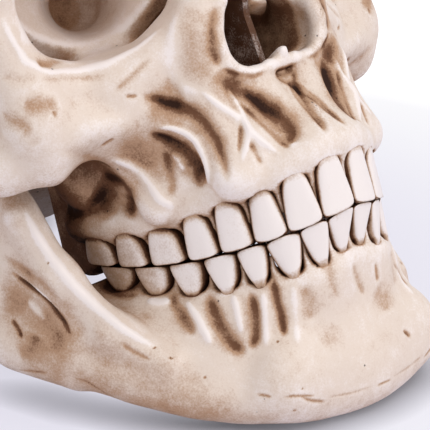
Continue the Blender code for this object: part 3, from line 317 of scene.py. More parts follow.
@dataclass(frozen=True)
class PhotoCamera:
    """The photograph's camera, solved from the rows of teeth and the lower jaw's border."""

    pivot: tuple[float, float, float] = (0.0, -0.095, -0.045)
    pivot_pixel: tuple[float, float] = (336.3, 211.9)
    pixels_per_metre: float = 4530.0
    distance: float = 0.70
    azimuth: float = math.radians(48.0)
    elevation: float = math.radians(20.5)
    pitch: float = math.radians(22.3)
    frame_pixels: float = 430.0
    sensor_width: float = 36.0
    nearest: float = 0.05

    @property
    def focal_pixels(self) -> float:
        """The focal length in pixels of the photograph."""
        return self.pixels_per_metre * self.distance

    def sight(self) -> tuple[Vector, Vector, Vector]:
        """The right, up and back directions of a view at the pivot.

        Returns:
            The three directions.
        """
        level = math.cos(self.elevation)
        back = Vector((-math.sin(self.azimuth) * level, -math.cos(self.azimuth) * level,
                       math.sin(self.elevation)))
        right = Vector((math.cos(self.azimuth), -math.sin(self.azimuth), 0.0))
        lean = Matrix.Rotation(self.pitch - POSTURE.pitch, 3, "X")
        return lean @ right, lean @ back.cross(right), lean @ back

    def place(self) -> Vector:
        """Where the camera stands."""
        return Vector(POSTURE.to_model(self.pivot)[0]) + self.sight()[2] * self.distance

    def axes(self) -> Matrix:
        """The camera's right, up and back directions, as a matrix's columns.

        Returns:
            The matrix.
        """
        right, up, back = self.sight()
        middle = 0.5 * self.frame_pixels
        look = right * (middle - self.pivot_pixel[0]) - up * (middle - self.pivot_pixel[1])
        back = (back * self.focal_pixels - look).normalized()
        right = (right - back * right.dot(back)).normalized()
        return Matrix((right, back.cross(right), back)).transposed()

    def ray(self, pixel: tuple[float, float]) -> Vector:
        """The direction of sight through a pixel."""
        middle = 0.5 * self.frame_pixels
        local = Vector((pixel[0] - middle, middle - pixel[1], -self.focal_pixels))
        return (self.axes() @ local).normalized()

    def add_to_scene(self) -> None:
        """Make the camera and set it as the scene's."""
        data = bpy.data.cameras.new("photo_camera")
        data.sensor_width = self.sensor_width
        data.lens = self.focal_pixels / self.frame_pixels * self.sensor_width
        data.clip_start = self.nearest
        camera = linked("photo_camera", data)
        camera.matrix_world = Matrix.Translation(self.place()) @ self.axes().to_4x4()
        bpy.context.scene.camera = camera


CAMERA = PhotoCamera()


class Bone:
    """Distance field of a bone on one half of the skull, which is mirrored when it is meshed."""

    def __init__(self, low: np.ndarray, high: np.ndarray) -> None:
        """Lay an empty grid between two corners of the skull's frame."""
        self.low = np.array(low)
        counts = np.ceil((np.array(high) - self.low) / FIELD_STEP).astype(int) + 1
        self.axes = [(self.low[i] + FIELD_STEP * np.arange(counts[i])).astype(np.float32) for i in range(3)]
        self.distance = np.full(counts, FAR, dtype=np.float32)

    def apply(self, shape: DistanceShape, low: np.ndarray, high: np.ndarray, blend: float,
              cut: bool = False) -> None:
        """Join a shape to the bone, or cut it out.

        Args:
            shape: a function of x, y and z that returns a distance.
            low: the lowest corner that the shape reaches.
            high: the highest corner that the shape reaches.
            blend: the width of the rounded join.
            cut: whether the shape is taken away.
        """
        margin = blend + 2.0 * FIELD_STEP
        spans = []
        for i in range(3):
            first = int(np.searchsorted(self.axes[i], low[i] - margin))
            last = int(np.searchsorted(self.axes[i], high[i] + margin))
            spans.append(slice(first, max(first, last)))
        spans = tuple(spans)
        here = self.distance[spans]
        if here.size == 0:
            return
        x, y, z = (self.axes[i][spans[i]] for i in range(3))
        other = shape(x[:, None, None], y[None, :, None], z[None, None, :])
        if cut:
            self.distance[spans] = -blend_min(-here, other, blend)
        else:
            self.distance[spans] = blend_min(here, other, blend)

    def ball(self, centre: np.ndarray, radii: np.ndarray, blend: float, cut: bool = False,
             yaw: float = 0.0) -> None:
        """Apply an ellipsoid, turned by a yaw about Z.

        Args:
            centre: the middle.
            radii: half the size along each axis.
            blend: the width of the rounded join.
            cut: whether the ellipsoid is taken away.
            yaw: the turn, in radians.
        """
        centre, radii = np.array(centre), np.array(radii)
        c, s = math.cos(yaw), math.sin(yaw)

        def shape(x: np.ndarray, y: np.ndarray, z: np.ndarray) -> np.ndarray:
            """Distance to the ellipsoid at grid coordinates."""
            x, y, z = x - centre[0], y - centre[1], z - centre[2]
            x, y = c * x + s * y, c * y - s * x
            x, y, z = x / radii[0], y / radii[1], z / radii[2]
            size = np.sqrt(x * x + y * y + z * z)
            slope = np.sqrt((x / radii[0]) ** 2 + (y / radii[1]) ** 2 + (z / radii[2]) ** 2)
            return size * (size - 1.0) / np.maximum(slope, TINY)

        reach = radii if yaw == 0.0 else np.array((max(radii[:2]), max(radii[:2]), radii[2]))
        self.apply(shape, centre - reach, centre + reach, blend, cut)

    def rod(self, start: np.ndarray, end: np.ndarray, start_radius: float, end_radius: float,
            blend: float, cut: bool = False) -> None:
        """Apply a tapered round bar.

        Args:
            start: the first end.
            end: the second end.
            start_radius: radius at the first end.
            end_radius: radius at the second end.
            blend: the width of the rounded join.
            cut: whether the bar is taken away.
        """
        start, end = np.array(start), np.array(end)
        axis = end - start
        length_squared = float(axis @ axis)
        reach = max(start_radius, end_radius)

        def shape(x: np.ndarray, y: np.ndarray, z: np.ndarray) -> np.ndarray:
            """Distance to the bar at grid coordinates."""
            dx, dy, dz = x - start[0], y - start[1], z - start[2]
            along = np.clip((dx * axis[0] + dy * axis[1] + dz * axis[2]) / length_squared, 0.0, 1.0)
            dx, dy, dz = dx - along * axis[0], dy - along * axis[1], dz - along * axis[2]
            gap = np.sqrt(dx * dx + dy * dy + dz * dz)
            return gap - (start_radius + (end_radius - start_radius) * along)

        self.apply(shape, np.minimum(start, end) - reach, np.maximum(start, end) + reach, blend, cut)

    def well(self, place: np.ndarray, radius: float, low: float, high: float) -> None:
        """Cut an upright round hole between two heights.

        Args:
            place: a point on the hole's axis.
            radius: the hole's radius.
            low: height of its foot.
            high: height of its top.
        """

        def shape(x: np.ndarray, y: np.ndarray, z: np.ndarray) -> np.ndarray:
            """Distance to the hole at grid coordinates."""
            wall = np.sqrt((x - place[0]) ** 2 + (y - place[1]) ** 2) - radius
            ends = np.maximum(low - z, z - high)
            return np.maximum(wall, ends)

        low_corner = np.array((place[0] - radius, place[1] - radius, low))
        high_corner = np.array((place[0] + radius, place[1] + radius, high))
        self.apply(shape, low_corner, high_corner, 0.5 * FIELD_STEP, cut=True)

    def share_ball(self, share: Shares, blend: float, cut: bool = False) -> None:
        """Apply a ball given in face shares."""
        self.ball(face(share[0]), face(share[1]), blend, cut)

    def share_rod(self, shares: Shares, blend: float, cut: bool = False) -> None:
        """Apply a chain of rods given in face shares."""
        for a, b in zip(shares, shares[1:]):
            self.rod(face(a), face(b), a[3] * FACE_WIDTH, b[3] * FACE_WIDTH, blend, cut)

    def height_above_table(self) -> np.ndarray:
        """How far each grid point lies above the table."""
        c, s = math.cos(POSTURE.pitch), math.sin(POSTURE.pitch)
        y = self.axes[1][None, :, None]
        z = self.axes[2][None, None, :]
        return (-s * y + c * z + POSTURE.height).astype(np.float32)

    def mesh(self, distance: np.ndarray) -> "Surface":
        """Mesh both halves of a field that has this grid.

        Args:
            distance: distances on this grid.

        Returns:
            The largest closed surface, smoothed.
        """
        whole = np.concatenate((distance[:0:-1], distance)) / FIELD_STEP
        grid = openvdb.FloatGrid(FAR / FIELD_STEP)
        grid.copyFromArray(whole.astype(np.float32))
        points, quads = grid.convertToQuads(isovalue=0.0)
        middle = np.array((len(self.axes[0]) - 1, 0, 0))
        points = (points - middle) * FIELD_STEP + np.array((0.0, self.low[1], self.low[2]))
        surface = Surface(POSTURE.to_model(points), np.asarray(quads, dtype=np.int64))
        surface.keep_largest()
        surface.points = surface.relaxed(2)
        return surface


class Surface:
    """Points and faces of a piece while it is worked."""

    def __init__(self, points: np.ndarray, quads: np.ndarray) -> None:
        """Hold points, four-cornered faces and faces with more corners."""
        self.points = points
        self.quads = quads
        self.others: list[tuple[int, ...]] = []
        self.masks: dict[str, np.ndarray] = {}

    def edges(self) -> np.ndarray:
        """Each edge once, as a pair of point numbers.

        Returns:
            Two point numbers a row.
        """
        pairs = [self.quads[:, (i, (i + 1) % 4)] for i in range(4)]
        rest = [(a, b) for loop in self.others for a, b in zip(loop, loop[1:] + loop[:1])]
        if rest:
            pairs.append(np.array(rest, dtype=np.int64))
        pairs = np.sort(np.concatenate(pairs), axis=1)
        keys = np.unique(pairs[:, 0] * len(self.points) + pairs[:, 1])
        return np.stack((keys // len(self.points), keys % len(self.points)), axis=1)

    def keep_largest(self) -> None:
        """Drop every body but the largest one."""
        labels = np.arange(len(self.points))
        edges = self.edges()
        while True:
            least = np.minimum(labels[edges[:, 0]], labels[edges[:, 1]])
            new = labels.copy()
            np.minimum.at(new, edges[:, 0], least)
            np.minimum.at(new, edges[:, 1], least)
            new = new[new]
            if np.array_equal(new, labels):
                break
            labels = new
        largest = np.bincount(labels).argmax()
        keep = labels == largest
        number = np.cumsum(keep) - 1
        self.quads = number[self.quads[keep[self.quads[:, 0]]]]
        self.points = self.points[keep]

    def spread(self, values: np.ndarray, edges: np.ndarray) -> np.ndarray:
        """The mean of each point's neighbours, for one value a point or for three.

        Args:
            values: one row a point.
            edges: two point numbers a row.

        Returns:
            One mean a point.
        """
        count = len(self.points)
        degree = np.bincount(edges.ravel(), minlength=count)
        columns = values if values.ndim == 2 else values[:, None]
        means = [np.bincount(edges[:, 0], columns[edges[:, 1], i], count)
                 + np.bincount(edges[:, 1], columns[edges[:, 0], i], count) for i in range(columns.shape[1])]
        return (np.stack(means, axis=1) / np.maximum(degree, 1)[:, None]).reshape(values.shape)

    def relaxed(self, rounds: int, weight: float = 0.5) -> np.ndarray:
        """The points after some rounds of smoothing."""
        edges = self.edges()
        points = self.points
        for _ in range(rounds):
            points = points + weight * (self.spread(points, edges) - points)
        return points

    def normals(self) -> np.ndarray:
        """The outward direction at each point.

        Returns:
            One unit vector a point.
        """
        corners = self.points[self.quads]
        crossed = np.cross(corners[:, 2] - corners[:, 0], corners[:, 3] - corners[:, 1])
        total = np.zeros_like(self.points)
        for i in range(3):
            for corner in range(4):
                total[:, i] += np.bincount(self.quads[:, corner], crossed[:, i], len(self.points))
        length = np.linalg.norm(total, axis=1)
        return total / np.maximum(length, TINY * TINY)[:, None]

    def refine(self, chosen: np.ndarray) -> None:
        """Split the chosen four-cornered faces into four, and keep their neighbours joined.

        Args:
            chosen: whether each face is split.
        """
        count = len(self.points)
        picked = self.quads[chosen]
        sides = np.stack([np.sort(picked[:, (i, (i + 1) % 4)], axis=1) for i in range(4)], axis=1)
        keys = sides[:, :, 0] * count + sides[:, :, 1]
        unique, index = np.unique(keys, return_inverse=True)
        index = index.reshape(keys.shape)
        ends = np.stack((unique // count, unique % count), axis=1)
        middles = self.points[ends].mean(axis=1)
        centres = self.points[picked].mean(axis=1)
        mid = count + index
        centre = count + len(unique) + np.arange(len(picked))
        fresh = [np.stack((picked[:, i], mid[:, i], centre, mid[:, (i + 3) % 4]), axis=1) for i in range(4)]
        rest = self.quads[~chosen]
        rest_sides = np.stack([np.sort(rest[:, (i, (i + 1) % 4)], axis=1) for i in range(4)], axis=1)
        rest_keys = rest_sides[:, :, 0] * count + rest_sides[:, :, 1]
        slots = np.minimum(np.searchsorted(unique, rest_keys), len(unique) - 1)
        split = unique[slots] == rest_keys
        touched = split.any(axis=1)
        for loop, marks, places in zip(rest[touched], split[touched], slots[touched]):
            corners = []
            for i in range(4):
                corners.append(int(loop[i]))
                if marks[i]:
                    corners.append(count + int(places[i]))
            self.others.append(tuple(corners))
        self.points = np.concatenate((self.points, middles, centres))
        self.quads = np.concatenate([rest[~touched]] + fresh)

    def tree(self) -> BVHTree:
        """A search tree over the faces."""
        return BVHTree.FromPolygons(self.points.tolist(), self.quads.tolist() + self.others)

    def to_object(self, name: str) -> bpy.types.Object:
        """Make a smooth-shaded object that carries the masks as attributes.

        Args:
            name: the object's name.

        Returns:
            The object.
        """
        data = bpy.data.meshes.new(name)
        data.from_pydata(self.points.tolist(), [], self.quads.tolist() + self.others)
        data.shade_smooth()
        for mask, values in self.masks.items():
            layer = data.attributes.new(mask, "FLOAT", "POINT")
            layer.data.foreach_set("value", values.astype(np.float32))
        return linked(name, data)


@dataclass(frozen=True)
class Stroke:
    """A groove, ridge or stain laid over pixels of the photograph, and mirrored if it says so."""

    pixels: tuple[tuple[float, float], ...]
    width: float
    height: float
    stain: float = 0.0
    end_share: float = 0.45
    longest_step: float = 0.006
    mirrored: bool = True

    @property
    def stain_share(self) -> float:
        """How much wider than the groove its stain lies."""
        return WIDE_STAIN_SHARE if self.stain > 0.0 and self.width > NARROW_STROKE else 1.0

    def line(self, tree: BVHTree) -> np.ndarray:
        """Find the stroke's line on a surface that is seen through the photograph's camera.

        Args:
            tree: the surface's search tree.

        Returns:
            The points of the line.
        """
        knots = np.array(self.pixels, dtype=float)
        way = np.concatenate(([0.0], np.cumsum(np.hypot(*np.diff(knots, axis=0).T))))
        steps = np.linspace(0.0, way[-1], max(3, int(way[-1] / 2.0)))
        pixels = np.stack([np.interp(steps, way, knots[:, i]) for i in range(2)], axis=1)
        for _ in range(4):
            pixels[1:-1] = 0.25 * pixels[:-2] + 0.5 * pixels[1:-1] + 0.25 * pixels[2:]
        place = CAMERA.place()
        found = []
        for pixel in pixels:
            hit = tree.ray_cast(place, CAMERA.ray(tuple(pixel)))[0]
            if hit is None or (found and (hit - found[-1]).length > self.longest_step):
                continue
            found.append(hit)
        return np.array([tuple(hit) for hit in found])

    def press(self, surface: Surface, line: np.ndarray, lift: np.ndarray, stain: np.ndarray) -> None:
        """Add the stroke along a line to the lift and stain of a surface's points.

        Args:
            surface: the surface that the stroke lies on.
            line: the points of the stroke.
            lift: each point's way along its normal, which is added to.
            stain: each point's stain, which is added to.
        """
        reach = STROKE_REACH_SHARE * self.width * self.stain_share
        low, high = line.min(axis=0) - reach, line.max(axis=0) + reach
        chosen = np.flatnonzero(np.all((surface.points > low) & (surface.points < high), axis=1))
        if len(chosen) == 0:
            return
        points = surface.points[chosen]
        best = np.full(len(points), FAR)
        share = np.zeros(len(points))
        for i in range(len(line) - 1):
            axis = line[i + 1] - line[i]
            length_squared = max(float(axis @ axis), TINY * TINY)
            along = np.clip((points - line[i]) @ axis / length_squared, 0.0, 1.0)
            gap = np.linalg.norm(points - line[i] - along[:, None] * axis, axis=1)
            closer = gap < best
            best[closer] = gap[closer]
            share[closer] = (i + along[closer]) / (len(line) - 1)
        belly = np.sin(math.pi * np.clip(share, 0.0, 1.0)) ** 0.7
        width = self.width * (self.end_share + (1.0 - self.end_share) * belly)
        fade = smooth_step(belly, 0.0, 0.75)
        lift[chosen] += self.height * (np.exp(-((best / width) ** 2)) * fade)
        stain[chosen] += self.stain * fade * np.exp(-((best / (width * self.stain_share)) ** 2))


# Strokes over the photograph: places in pixels, half width, height and stain
# a stain below zero lightens: wiped wash, and on rims and crests also a painted highlight
SKULL_STROKES = (
    # rim of the eye socket, lightened as a painted highlight, and the brown band that runs inside it
    Stroke(((0, 14), (12, 40), (25, 61), (50, 73), (78, 72), (108, 63), (138, 48), (164, 26)),
           0.0012, 0.0005, -0.35),
    Stroke(((36, 66), (58, 60), (80, 59), (105, 52), (125, 44), (142, 32), (156, 18), (164, 4)),
           0.0013, -0.0004, 0.55, end_share=0.6),
    Stroke(((20, 34), (50, 46), (85, 46), (118, 36), (138, 22)), 0.0018, 0.0, -0.45),
    # soft stains and marks on the cheekbone
    Stroke(((113, 93), (128, 80), (142, 66), (152, 58)), 0.0008, -0.0002, 0.30),
    Stroke(((40, 79), (66, 76), (92, 78), (112, 72)), 0.0010, -0.0002, 0.22),
    Stroke(((0, 76), (20, 80), (40, 78)), 0.0013, -0.0002, 0.22),
    Stroke(((22, 105), (40, 106), (60, 104)), 0.0016, -0.0002, 0.58),
    Stroke(((53, 111), (57, 114), (56, 118)), 0.0004, -0.0002, 0.5),
    Stroke(((0, 112), (10, 120), (24, 127), (34, 128)), 0.0013, -0.0002, 0.35),
    Stroke(((24, 130), (30, 138), (38, 146)), 0.0012, -0.0001, 0.22),
    Stroke(((60, 150), (85, 156), (110, 163)), 0.0014, -0.0002, 0.20),
    Stroke(((125, 96), (132, 97), (138, 95)), 0.0004, -0.0003, 0.6),
    # side of the nose
    Stroke(((217, 4), (212, 26), (213, 50), (220, 68)), 0.0012, -0.0004, 0.60),
    Stroke(((190, 0), (190, 30), (196, 60), (210, 88)), 0.0026, -0.0001, 0.34),
    Stroke(((176, 12), (171, 40), (170, 68), (184, 88), (204, 97)), 0.0016, 0.0003, -0.35),
    Stroke(((221, 68), (236, 75), (254, 77), (268, 71)), 0.0007, -0.0003, 0.42),
    # hollow beside the canine: outer furrow, ridge, inner furrow and mound
    Stroke(((140, 100), (164, 98), (186, 102)), 0.0026, -0.0002, 0.30),
    Stroke(((142, 96), (158, 99), (175, 104), (190, 111), (201, 119), (210, 129), (217, 141), (222, 155),
            (226, 172), (228, 184)), 0.0014, -0.0008, 0.62),
    Stroke(((146, 112), (168, 114), (188, 122)), 0.0020, -0.0001, 0.30),
    Stroke(((156, 127), (172, 128), (186, 133), (196, 141), (203, 155), (208, 170), (209, 188)),
           0.0009, 0.0008, -0.45),
    Stroke(((148, 133), (160, 138), (172, 143), (183, 149), (191, 157), (197, 166), (200, 177), (200, 190)),
           0.0016, -0.0012, 0.75),
    Stroke(((170, 152), (179, 160), (185, 172)), 0.0010, 0.0006, -0.25),
    Stroke(((164, 150), (168, 165), (172, 182), (172, 198)), 0.0012, -0.0004, 0.42),
    Stroke(((128, 138), (140, 150), (156, 168)), 0.0026, 0.0002, 0.32),
    Stroke(((134, 112), (138, 136), (150, 160), (164, 186)), 0.0036, 0.0, 0.26),
    Stroke(((160, 143), (176, 153), (188, 168), (191, 186)), 0.0020, -0.0003, 0.24),
    Stroke(((182, 104), (200, 122), (213, 142), (219, 166)), 0.0018, 0.0, 0.22),
    # dark wall behind the crest above the molars
    Stroke(((100, 176), (120, 181), (131, 196), (132, 222)), 0.0017, -0.0004, 0.95),
    Stroke(((92, 190), (108, 198), (114, 220)), 0.0024, 0.0, 0.60),
    # crest above the molars, lightened as a painted highlight
    Stroke(((110, 158), (128, 164), (142, 173), (152, 187), (160, 200), (176, 208)), 0.0013, 0.0008, -0.50),
    # grooves towards the front teeth
    Stroke(((214, 74), (232, 86), (250, 98), (268, 112), (281, 126), (290, 145)), 0.0024, -0.0006, 0.52),
    Stroke(((234, 100), (250, 112), (264, 125), (277, 138), (290, 150)), 0.0009, -0.0004, 0.30),
    Stroke(((258, 104), (272, 116), (284, 132)), 0.0017, -0.0001, 0.05),
    Stroke(((212, 74), (224, 84), (242, 94)), 0.0024, 0.0, 0.36),
    Stroke(((200, 90), (216, 103), (238, 118), (258, 139), (282, 156)), 0.0010, 0.0006, -0.45),
    Stroke(((249, 141), (256, 152), (262, 165)), 0.0008, -0.0004, 0.34),
    Stroke(((292, 70), (295, 82), (302, 96), (312, 110), (322, 123), (328, 133)), 0.0010, -0.0006, 0.55),
    Stroke(((288, 76), (292, 90), (300, 102), (311, 114), (327, 133)), 0.0004, -0.0002, 0.30),
    Stroke(((325, 58), (327, 72), (331, 87), (339, 100), (348, 111), (360, 122)), 0.0018, -0.0010, 0.80),
    Stroke(((332, 52), (341, 74), (351, 90), (362, 104), (373, 116)), 0.0008, 0.0005, -0.35),
    Stroke(((345, 78), (352, 88), (360, 98), (368, 108)), 0.0005, -0.0003, 0.42),
    Stroke(((348, 58), (346, 70), (348, 80)), 0.0006, -0.0003, 0.35),
)
# a stain below zero lightens: wiped wash, and on ridges also a painted highlight
JAW_STROKES = (
    # broad painted shade over the body and the ramus, which face away from the light
    Stroke(((20, 352), (90, 374), (170, 390), (240, 402)), 0.0055, 0.0, 0.34),
    Stroke(((0, 292), (30, 332), (80, 362)), 0.0055, 0.0, 0.34),
    Stroke(((110, 398), (170, 408), (240, 416), (290, 418)), 0.0024, 0.0, 0.25),
    # front edge of the ramus, lightened as a painted highlight, and its oblique line
    Stroke(((22, 205), (35, 232), (50, 256), (72, 284), (98, 309), (124, 330), (156, 348)),
           0.0013, 0.0007, -0.50),
    Stroke(((98, 290), (125, 306), (155, 318), (190, 330)), 0.0036, -0.0003, 0.12),
    Stroke(((100, 282), (118, 294), (140, 294)), 0.0012, -0.0003, 0.45),
    # fine furrows on the outside of the ramus
    Stroke(((0, 254), (20, 268), (40, 283), (60, 303)), 0.0013, -0.0003, 0.34),
    Stroke(((10, 271), (30, 286), (50, 304), (64, 322), (72, 338)), 0.0008, -0.0005, 0.50),
    Stroke(((14, 271), (38, 290), (60, 311)), 0.0003, 0.0002, -0.5),
    Stroke(((28, 300), (46, 320)), 0.0010, 0.0002, -0.35),
    Stroke(((11, 319), (18, 328), (22, 339)), 0.0006, -0.0003, 0.55),
    Stroke(((44, 300), (62, 318), (78, 344)), 0.0034, 0.0, 0.30),
    Stroke(((0, 278), (14, 290), (30, 306)), 0.0034, 0.0, 0.26),
    Stroke(((96, 318), (112, 338), (132, 352)), 0.0022, 0.0, 0.16),
    Stroke(((16, 352), (32, 346), (38, 334)), 0.0022, -0.0002, 0.42),
    Stroke(((0, 300), (22, 306), (50, 330), (66, 352)), 0.0030, 0.0, 0.22),
    Stroke(((121, 343), (136, 353), (151, 360)), 0.0005, -0.0002, 0.40),
    Stroke(((18, 370), (48, 373)), 0.0004, -0.0001, 0.40),
    Stroke(((74, 378), (86, 381), (100, 390), (110, 396)), 0.0003, -0.0001, 0.38),
    # ridges over the lower roots and the hollows between them
    Stroke(((146, 300), (158, 303), (172, 300)), 0.0012, 0.0004, -0.70),
    Stroke(((173, 288), (175, 304), (184, 320), (196, 336)), 0.0015, -0.0006, 0.60),
    Stroke(((186, 300), (199, 320), (212, 346)), 0.0012, 0.0007, -0.50),
    Stroke(((207, 290), (212, 308), (220, 326), (230, 341), (240, 350), (249, 353)), 0.0017, -0.0009, 0.85),
    Stroke(((249, 290), (254, 305), (256, 320), (256, 335), (250, 351)), 0.0012, -0.0006, 0.66),
    Stroke(((240, 290), (243, 312), (242, 332)), 0.0014, 0.0, 0.22),
    Stroke(((233, 294), (238, 312), (242, 334)), 0.0011, 0.0006, -0.50),
    Stroke(((263, 290), (265, 315), (267, 348)), 0.0012, 0.0005, -0.35),
    Stroke(((271, 274), (276, 295), (281, 315), (285, 338)), 0.0010, -0.0006, 0.80),
    Stroke(((294, 284), (295, 312), (298, 346)), 0.0013, 0.0004, -0.30),
    Stroke(((304, 284), (308, 302), (312, 322)), 0.0018, -0.0003, 0.26),
    Stroke(((328, 262), (332, 282), (340, 300)), 0.0010, -0.0002, 0.24, mirrored=False),
    Stroke(((318, 344), (330, 336), (336, 322)), 0.0018, -0.0001, 0.20, mirrored=False),
    Stroke(((353, 262), (358, 280), (365, 296)), 0.0010, -0.0003, 0.34, mirrored=False),
    Stroke(((376, 262), (378, 282)), 0.0006, -0.0003, 0.55, mirrored=False),
    Stroke(((376, 286), (384, 298), (390, 312)), 0.0026, -0.0003, 0.36, mirrored=False),
    Stroke(((394, 262), (399, 275), (408, 288)), 0.0005, -0.0003, 0.45, mirrored=False),
    # pit at the side of the chin, casting line, scratches and air bubbles
    Stroke(((403, 330), (407, 333), (411, 337)), 0.0004, -0.0004, 0.55, mirrored=False),
    Stroke(((256, 394), (272, 397)), 0.0003, -0.0002, 0.75),
    Stroke(((283, 397), (298, 396), (316, 396)), 0.0003, -0.0002, 0.60),
    Stroke(((301, 397), (311, 401), (326, 402)), 0.0004, -0.0002, 0.60),
    Stroke(((376, 386), (384, 383), (392, 379)), 0.00025, -0.0002, 0.70, mirrored=False),
    Stroke(((326, 398), (352, 393), (374, 386)), 0.0003, -0.0001, 0.30),
    Stroke(((277, 341), (278, 342)), 0.0003, -0.0002, 1.0, mirrored=False),
    Stroke(((302, 388), (303, 389)), 0.0003, -0.0002, 1.0, mirrored=False),
    Stroke(((294, 410), (295, 411)), 0.0003, -0.0002, 1.0, mirrored=False),
    Stroke(((171, 357), (171, 359)), 0.0004, -0.0003, 1.0),
    Stroke(((154, 347), (155, 348)), 0.0004, -0.0003, 1.0),
    Stroke(((204, 377), (205, 378)), 0.0004, -0.0003, 1.0),
    Stroke(((48, 263), (49, 264)), 0.0004, -0.0003, 1.0),
)


def sculpt(surface: Surface, strokes: tuple[Stroke, ...]) -> None:
    """Press strokes into a surface, and keep their stain as a mask.

    Args:
        surface: the surface that is worked.
        strokes: the strokes that lie on it.
    """
    tree = surface.tree()
    normals = surface.normals()
    lift = np.zeros(len(surface.points))
    stain = np.zeros(len(surface.points))
    for stroke in strokes:
        line = stroke.line(tree)
        if len(line) < 2:
            LOG.warning("a stroke at %s misses the surface", stroke.pixels[0])
            continue
        stroke.press(surface, line, lift, stain)
        if stroke.mirrored:
            stroke.press(surface, line * MIRROR, lift, stain)
    surface.points = surface.points + normals * lift[:, None]
    # the stain mask holds real stain, painted shade and, below zero, painted highlight
    surface.masks["stain"] = stain


@dataclass(frozen=True)
class Shade:
    """A space whose walls are stained: place and half size in face shares.

    A high power makes the space boxy, and a low softness gives it a hard edge.
    """

    place: Share
    size: Share
    stain: float
    power: float = 2.0
    softness: float = 0.35

    def lay(self, surface: Surface) -> None:
        """Add the stain to a surface's mask, on both sides.

        Args:
            surface: the surface that gets the stain.
        """
        points = POSTURE.to_skull(surface.points)
        points[:, 0] = np.abs(points[:, 0])
        parts = np.abs((points - face(self.place)) / face(self.size)) ** self.power
        reach = parts.sum(axis=1) ** (1.0 / self.power)
        share = smooth_step(-reach, -1.0, self.softness - 1.0)
        surface.masks["stain"] = surface.masks["stain"] + self.stain * share


SKULL_SHADES = (
    Shade((0.00, -0.69, -0.01), (0.168, 0.212, 0.118), 0.72, 4.0, 0.08),  # nose
    Shade((0.34, -0.60, 0.19), (0.20, 0.22, 0.20), -0.22, 3.0, 0.20),  # eye socket
    Shade((0.40, -0.52, -0.22), (0.15, 0.19, 0.15), 0.65),  # space behind the cheekbone
    Shade((0.00, -0.60, -0.42), (0.26, 0.35, 0.14), 0.40),  # palate
    # painted shade: the plates are stained dark where the space behind the teeth lies in shadow
    Shade((0.24, -0.36, -0.30), (0.10, 0.18, 0.24), 0.95, 4.0, 0.20),  # plates behind the molars
)
JAW_SHADES = (
    Shade((0.30, -0.52, -0.40), (0.15, 0.19, 0.12), 0.45),  # inside the ramus
    Shade((0.00, -0.66, -0.62), (0.30, 0.23, 0.21), 0.35),  # behind the chin
)


def between_corners(values: np.ndarray, cell: np.ndarray, part: np.ndarray) -> np.ndarray:
    """Blend the values at the eight corners of grid cells.

    Args:
        values: values of the whole grid.
        cell: lowest corner of each cell.
        part: place within each cell, from 0 to 1.

    Returns:
        One value a cell.
    """
    total = np.zeros(len(cell))
    for i in (0, 1):
        for j in (0, 1):
            for k in (0, 1):
                weight = np.abs(1 - i - part[:, 0]) * np.abs(1 - j - part[:, 1]) * np.abs(1 - k - part[:, 2])
                total += weight * values[cell[:, 0] + i, cell[:, 1] + j, cell[:, 2] + k]
    return total


def roughen(surface: Surface, height: float, size: float, seed: int) -> None:
    """Raise and lower a surface a little, in soft waves about a size across.

    Args:
        surface: the surface that is worked.
        height: height of the waves, in metres.
        size: size of the waves, in metres.
        seed: seed of the random draws.
    """
    normals = surface.normals()
    low = surface.points.min(axis=0)
    counts = np.ceil((surface.points.max(axis=0) - low) / size).astype(int) + 2
    lattice = np.random.default_rng(seed).uniform(-1.0, 1.0, counts)
    place = (surface.points - low) / size
    cell = place.astype(int)
    wave = between_corners(lattice, cell, smooth_step(place - cell, 0.0, 1.0))
    surface.points = surface.points + normals * (height * wave)[:, None]


class DentalArch:
    """The outer line of the bite, by arc length from the middle."""

    def __init__(self) -> None:
        """Lay the line from the middle to well behind the last molar."""
        turn = np.linspace(0.0, 0.5 * math.pi, ARCH_STEPS)
        x = ARCH_HALF_WIDTH * np.sin(turn) ** (2.0 / ARCH_POWER)
        y = -FACE_DEPTH * ARCH_FRONT_SHARE + ARCH_DEPTH * (1.0 - np.cos(turn) ** (2.0 / ARCH_POWER))
        self.x = np.append(x, ARCH_HALF_WIDTH)
        self.y = np.append(y, y[-1] + ARCH_DEPTH)
        self.s = np.concatenate(([0.0], np.cumsum(np.hypot(np.diff(self.x), np.diff(self.y)))))
        slope_x, slope_y = np.gradient(self.x, self.s), np.gradient(self.y, self.s)
        size = np.hypot(slope_x, slope_y)
        self.nx, self.ny = -slope_y / size, slope_x / size

    def point(self, s: np.ndarray, inset: np.ndarray) -> tuple[np.ndarray, np.ndarray]:
        """The places at arc lengths, moved inwards; arc lengths below zero are mirrored."""
        size = np.abs(s)
        px = np.interp(size, self.s, self.x) + inset * np.interp(size, self.s, self.nx)
        py = np.interp(size, self.s, self.y) + inset * np.interp(size, self.s, self.ny)
        return np.where(np.asarray(s) < 0.0, -px, px), py


ARCH = DentalArch()


def bite_height(s: np.ndarray) -> np.ndarray:
    """Height of the bite at an arc length.

    Args:
        s: arc lengths from the middle.

    Returns:
        One height an arc length.
    """
    row = sum(tooth[1] for tooth in UPPER_TEETH)
    low = BITE_LOW_SHARE * row
    s = np.abs(s)
    front = BITE_FRONT_RISE * np.maximum(0.0, 1.0 - s / low) ** 2
    back = BITE_BACK_RISE * np.maximum(0.0, (s - low) / (row - low)) ** 2
    return -BITE_DROP + front + back


class Crown(Enum):
    """The kinds of crown in a row."""

    INCISOR = "incisor"
    CANINE = "canine"
    PREMOLAR = "premolar"
    MOLAR = "molar"


@dataclass(frozen=True)
class CrownForm:
    """How a kind of crown departs from a plain block."""

    corner_drop: float
    notch: float
    groove: float
    fossa: float
    face_power: float
    stain: float


